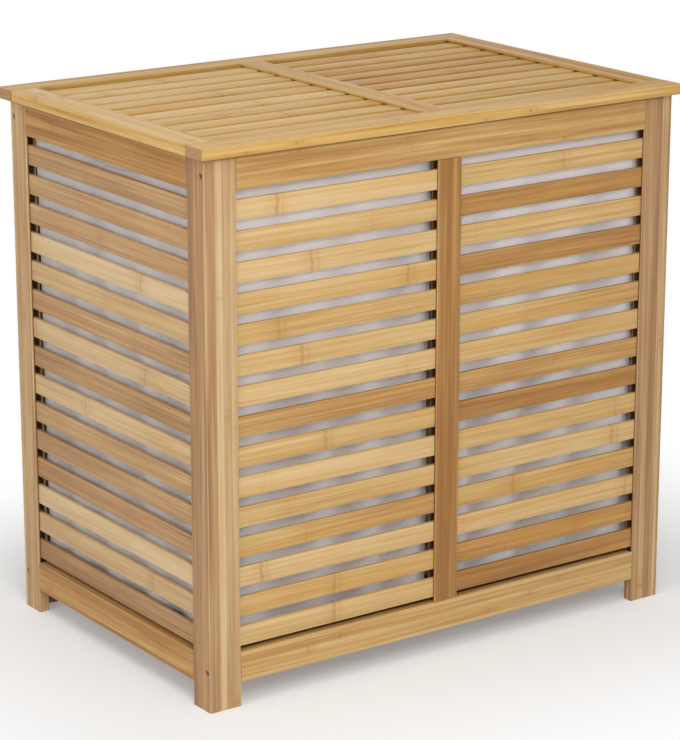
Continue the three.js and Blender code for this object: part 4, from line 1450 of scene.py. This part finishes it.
def make_weave_group():
    tree, given = new_group(
        "ShaderNodeTree", "plain_weave",
        {"Cloth": ORIGIN, "Place": ORIGIN, "Thread Pitch": THREAD_PITCH},
        ("Height", "Slub"),
    )
    cloth = flows(tree, "ShaderNodeSeparateXYZ", Vector=given["Cloth"])
    waves = []
    for along, other, way in (("X", "Y", 1.0), ("Y", "X", -1.0)):
        thread = cloth[along] / given["Thread Pitch"]
        crossing = cloth[other] / given["Thread Pitch"]
        body = abs(calc("SINE", thread * math.pi))
        over = calc("SINE", crossing * math.pi + calc("FLOOR", thread) * math.pi) * way
        waves.append(body * (over * OVER_SHARE + (1.0 - OVER_SHARE)))
    slub = noise(given["Place"], *SLUBS)
    put(tree, "NodeGroupOutput", Height=calc("MAXIMUM", *waves), Slub=slub)
    return tree


weave_group = make_weave_group()
print("weave group with", len(weave_group.nodes), "nodes")


def make_cloth_material():
    material, tree = new_material("liner_cloth")
    place = flows(tree, "ShaderNodeTexCoord")["Object"]
    cloth = flow(tree, "ShaderNodeUVMap", uv_map="cloth")
    weave = use_group(tree, weave_group, Cloth=cloth, Place=place)
    colour = blend(weave["Slub"], CLOTH_COLOUR, CLOTH_SHADE)
    surface(tree, weave["Height"], *CLOTH_BUMP, Base_Color=colour, **CLOTH_FEEL)
    return material


def make_thread_material():
    material, tree = new_material("thread")
    twist = noise(flows(tree, "ShaderNodeTexCoord")["Object"], *THREAD_TWIST)
    colour = blend(twist, THREAD_COLOUR, THREAD_SHADE)
    skin = flow(tree, "ShaderNodeBsdfPrincipled", Base_Color=colour, Roughness=THREAD_ROUGHNESS)
    put(tree, "ShaderNodeOutputMaterial", Surface=skin)
    return material


cloth_material = make_cloth_material()
thread_material = make_thread_material()

# %% [markdown]
# Both bags are cut alike: one long strip for the four walls with the turned-over edges, and the
# bottom sewn to it.

# %% Hang the bags
CUT_WIDTH = 1.25
BAG_SEEDS = {"left": 2.7, "right": 5.3}

for side, word in SIDES:
    seed = BAG_SEEDS[word]
    bag = make_bag(side, word, seed)
    edges = [make_casing(side, word, out, seed) for out in (-1, 1)]
    edges += [make_hem(side, word, out, seed) for out in (-1, 1)]
    for piece in (bag, *edges):
        piece.data.materials.clear()
        piece.data.materials.append(cloth_material)
    edges.append(make_stitches(side, word, seed, thread_material))
    for piece in (bag, *edges):
        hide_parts(f"{word}_liner")
        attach(piece, "box")
    wall_height = (LINER_TOP - LINER_BOTTOMS[word]) * MM
    bottom_area = (LINER_OUTER - LINER_INNER) * (LINER_BACK - LINER_FRONT) * MM * MM
    area = CUT_WIDTH * wall_height + bottom_area

# %% [markdown]
# ## Stage and light
# A plain white floor fades into a white surround. It takes the shadow near the hamper, and
# further out it is simply white to the camera, and to rays that come by way of metal. That is
# done in its material, because more light would bleach the object too.

# %% Floor
scene.view_settings.view_transform = "Standard"
FLOOR_SIZE = 8.0
FLOOR_LIFT = 0.22
SHADOW_REACH = 0.42
FOOTPRINT = (0.306, 0.2)
WHITE = (1, 1, 1, 1)
MATT_WHITE = (0.9, 0.9, 0.9, 1)


def seen_white(tree):
    """1 for rays from the camera, from a shiny surface or through glass, and 0 for all others."""
    rays = flows(tree, "ShaderNodeLightPath")
    seen = calc("MAXIMUM", rays["Is Camera Ray"], rays["Is Glossy Ray"])
    return calc("MAXIMUM", seen, rays["Is Transmission Ray"])


def make_floor():
    half = FLOOR_SIZE / 2
    mesh = bpy.data.meshes.new("floor")
    corners = [(-half, -half, 0), (half, -half, 0), (half, half, 0), (-half, half, 0)]
    mesh.from_pydata(corners, [], [(0, 1, 2, 3)])
    material, tree = new_material("floor")
    place = flows(tree, "ShaderNodeTexCoord")["Object"]
    parts = flows(tree, "ShaderNodeSeparateXYZ", Vector=place)
    beyond = [calc("MAXIMUM", abs(parts[axis]) - size, 0.0) for axis, size in zip("XY", FOOTPRINT)]
    reach = calc("SQRT", beyond[0] * beyond[0] + beyond[1] * beyond[1])
    away = fade(reach, 0.0, SHADOW_REACH, FLOOR_LIFT, 1.0)
    mix = put(tree, "ShaderNodeMixShader", Fac=seen_white(tree) * away)
    feed(mix.inputs[1], flow(tree, "ShaderNodeBsdfDiffuse", Color=MATT_WHITE))
    feed(mix.inputs[2], flow(tree, "ShaderNodeEmission", Color=WHITE, Strength=1.0))
    put(tree, "ShaderNodeOutputMaterial", Surface=Value(mix.outputs[0]))
    mesh.materials.append(material)
    add_object("floor", mesh)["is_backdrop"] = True


make_floor()

# %% [markdown]
# Five large soft lamps light the hamper like the windows of a bright room, and an even sky fills
# the shadows. The front and the side lamp stand about as high as the eye does, so that their
# light falls into the gaps between the slats where the eye looks too.

# %% Lamps and sky
LAMPS = {  # where it stands, how high it aims, its width in metres and its power in watts
    "key": ((-1.15, -2.2, 1.95), 0.3, 1.0, 24),
    "front": ((-1.3, -2.8, 1.35), 0.3, 1.3, 16),
    "top": ((-0.8, -1.1, 2.65), 0.5, 1.6, 16.5),
    "side": ((-2.75, -0.75, 1.45), 0.3, 1.4, 20),
    "back": ((1.4, 2.8, 0.45), 0.3, 1.8, 15),
}
for name, (place, aim, width, power) in LAMPS.items():
    data = bpy.data.lights.new(name, "AREA")
    data.shape = "SQUARE"
    data.size = width
    data.energy = power
    stand(add_object(name, data), place, Vector((0, 0, aim)) - Vector(place))
print("lamps", len(LAMPS), "with", sum(lamp[-1] for lamp in LAMPS.values()), "watts")

SKY = 0.38
world = bpy.data.worlds.new("surround")
scene.world = world
world.use_nodes = True
world.node_tree.nodes.clear()
strength = SKY + seen_white(world.node_tree) * (1.0 - SKY)
sky = flow(world.node_tree, "ShaderNodeBackground", Color=WHITE, Strength=strength)
put(world.node_tree, "ShaderNodeOutputWorld", Surface=sky)

# %% [markdown]
# ## Finish
# The finished hamper is measured again, and its size is printed.

# %% Finish
low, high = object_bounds()
print("visual size", [round(v, 4) for v in high - low])
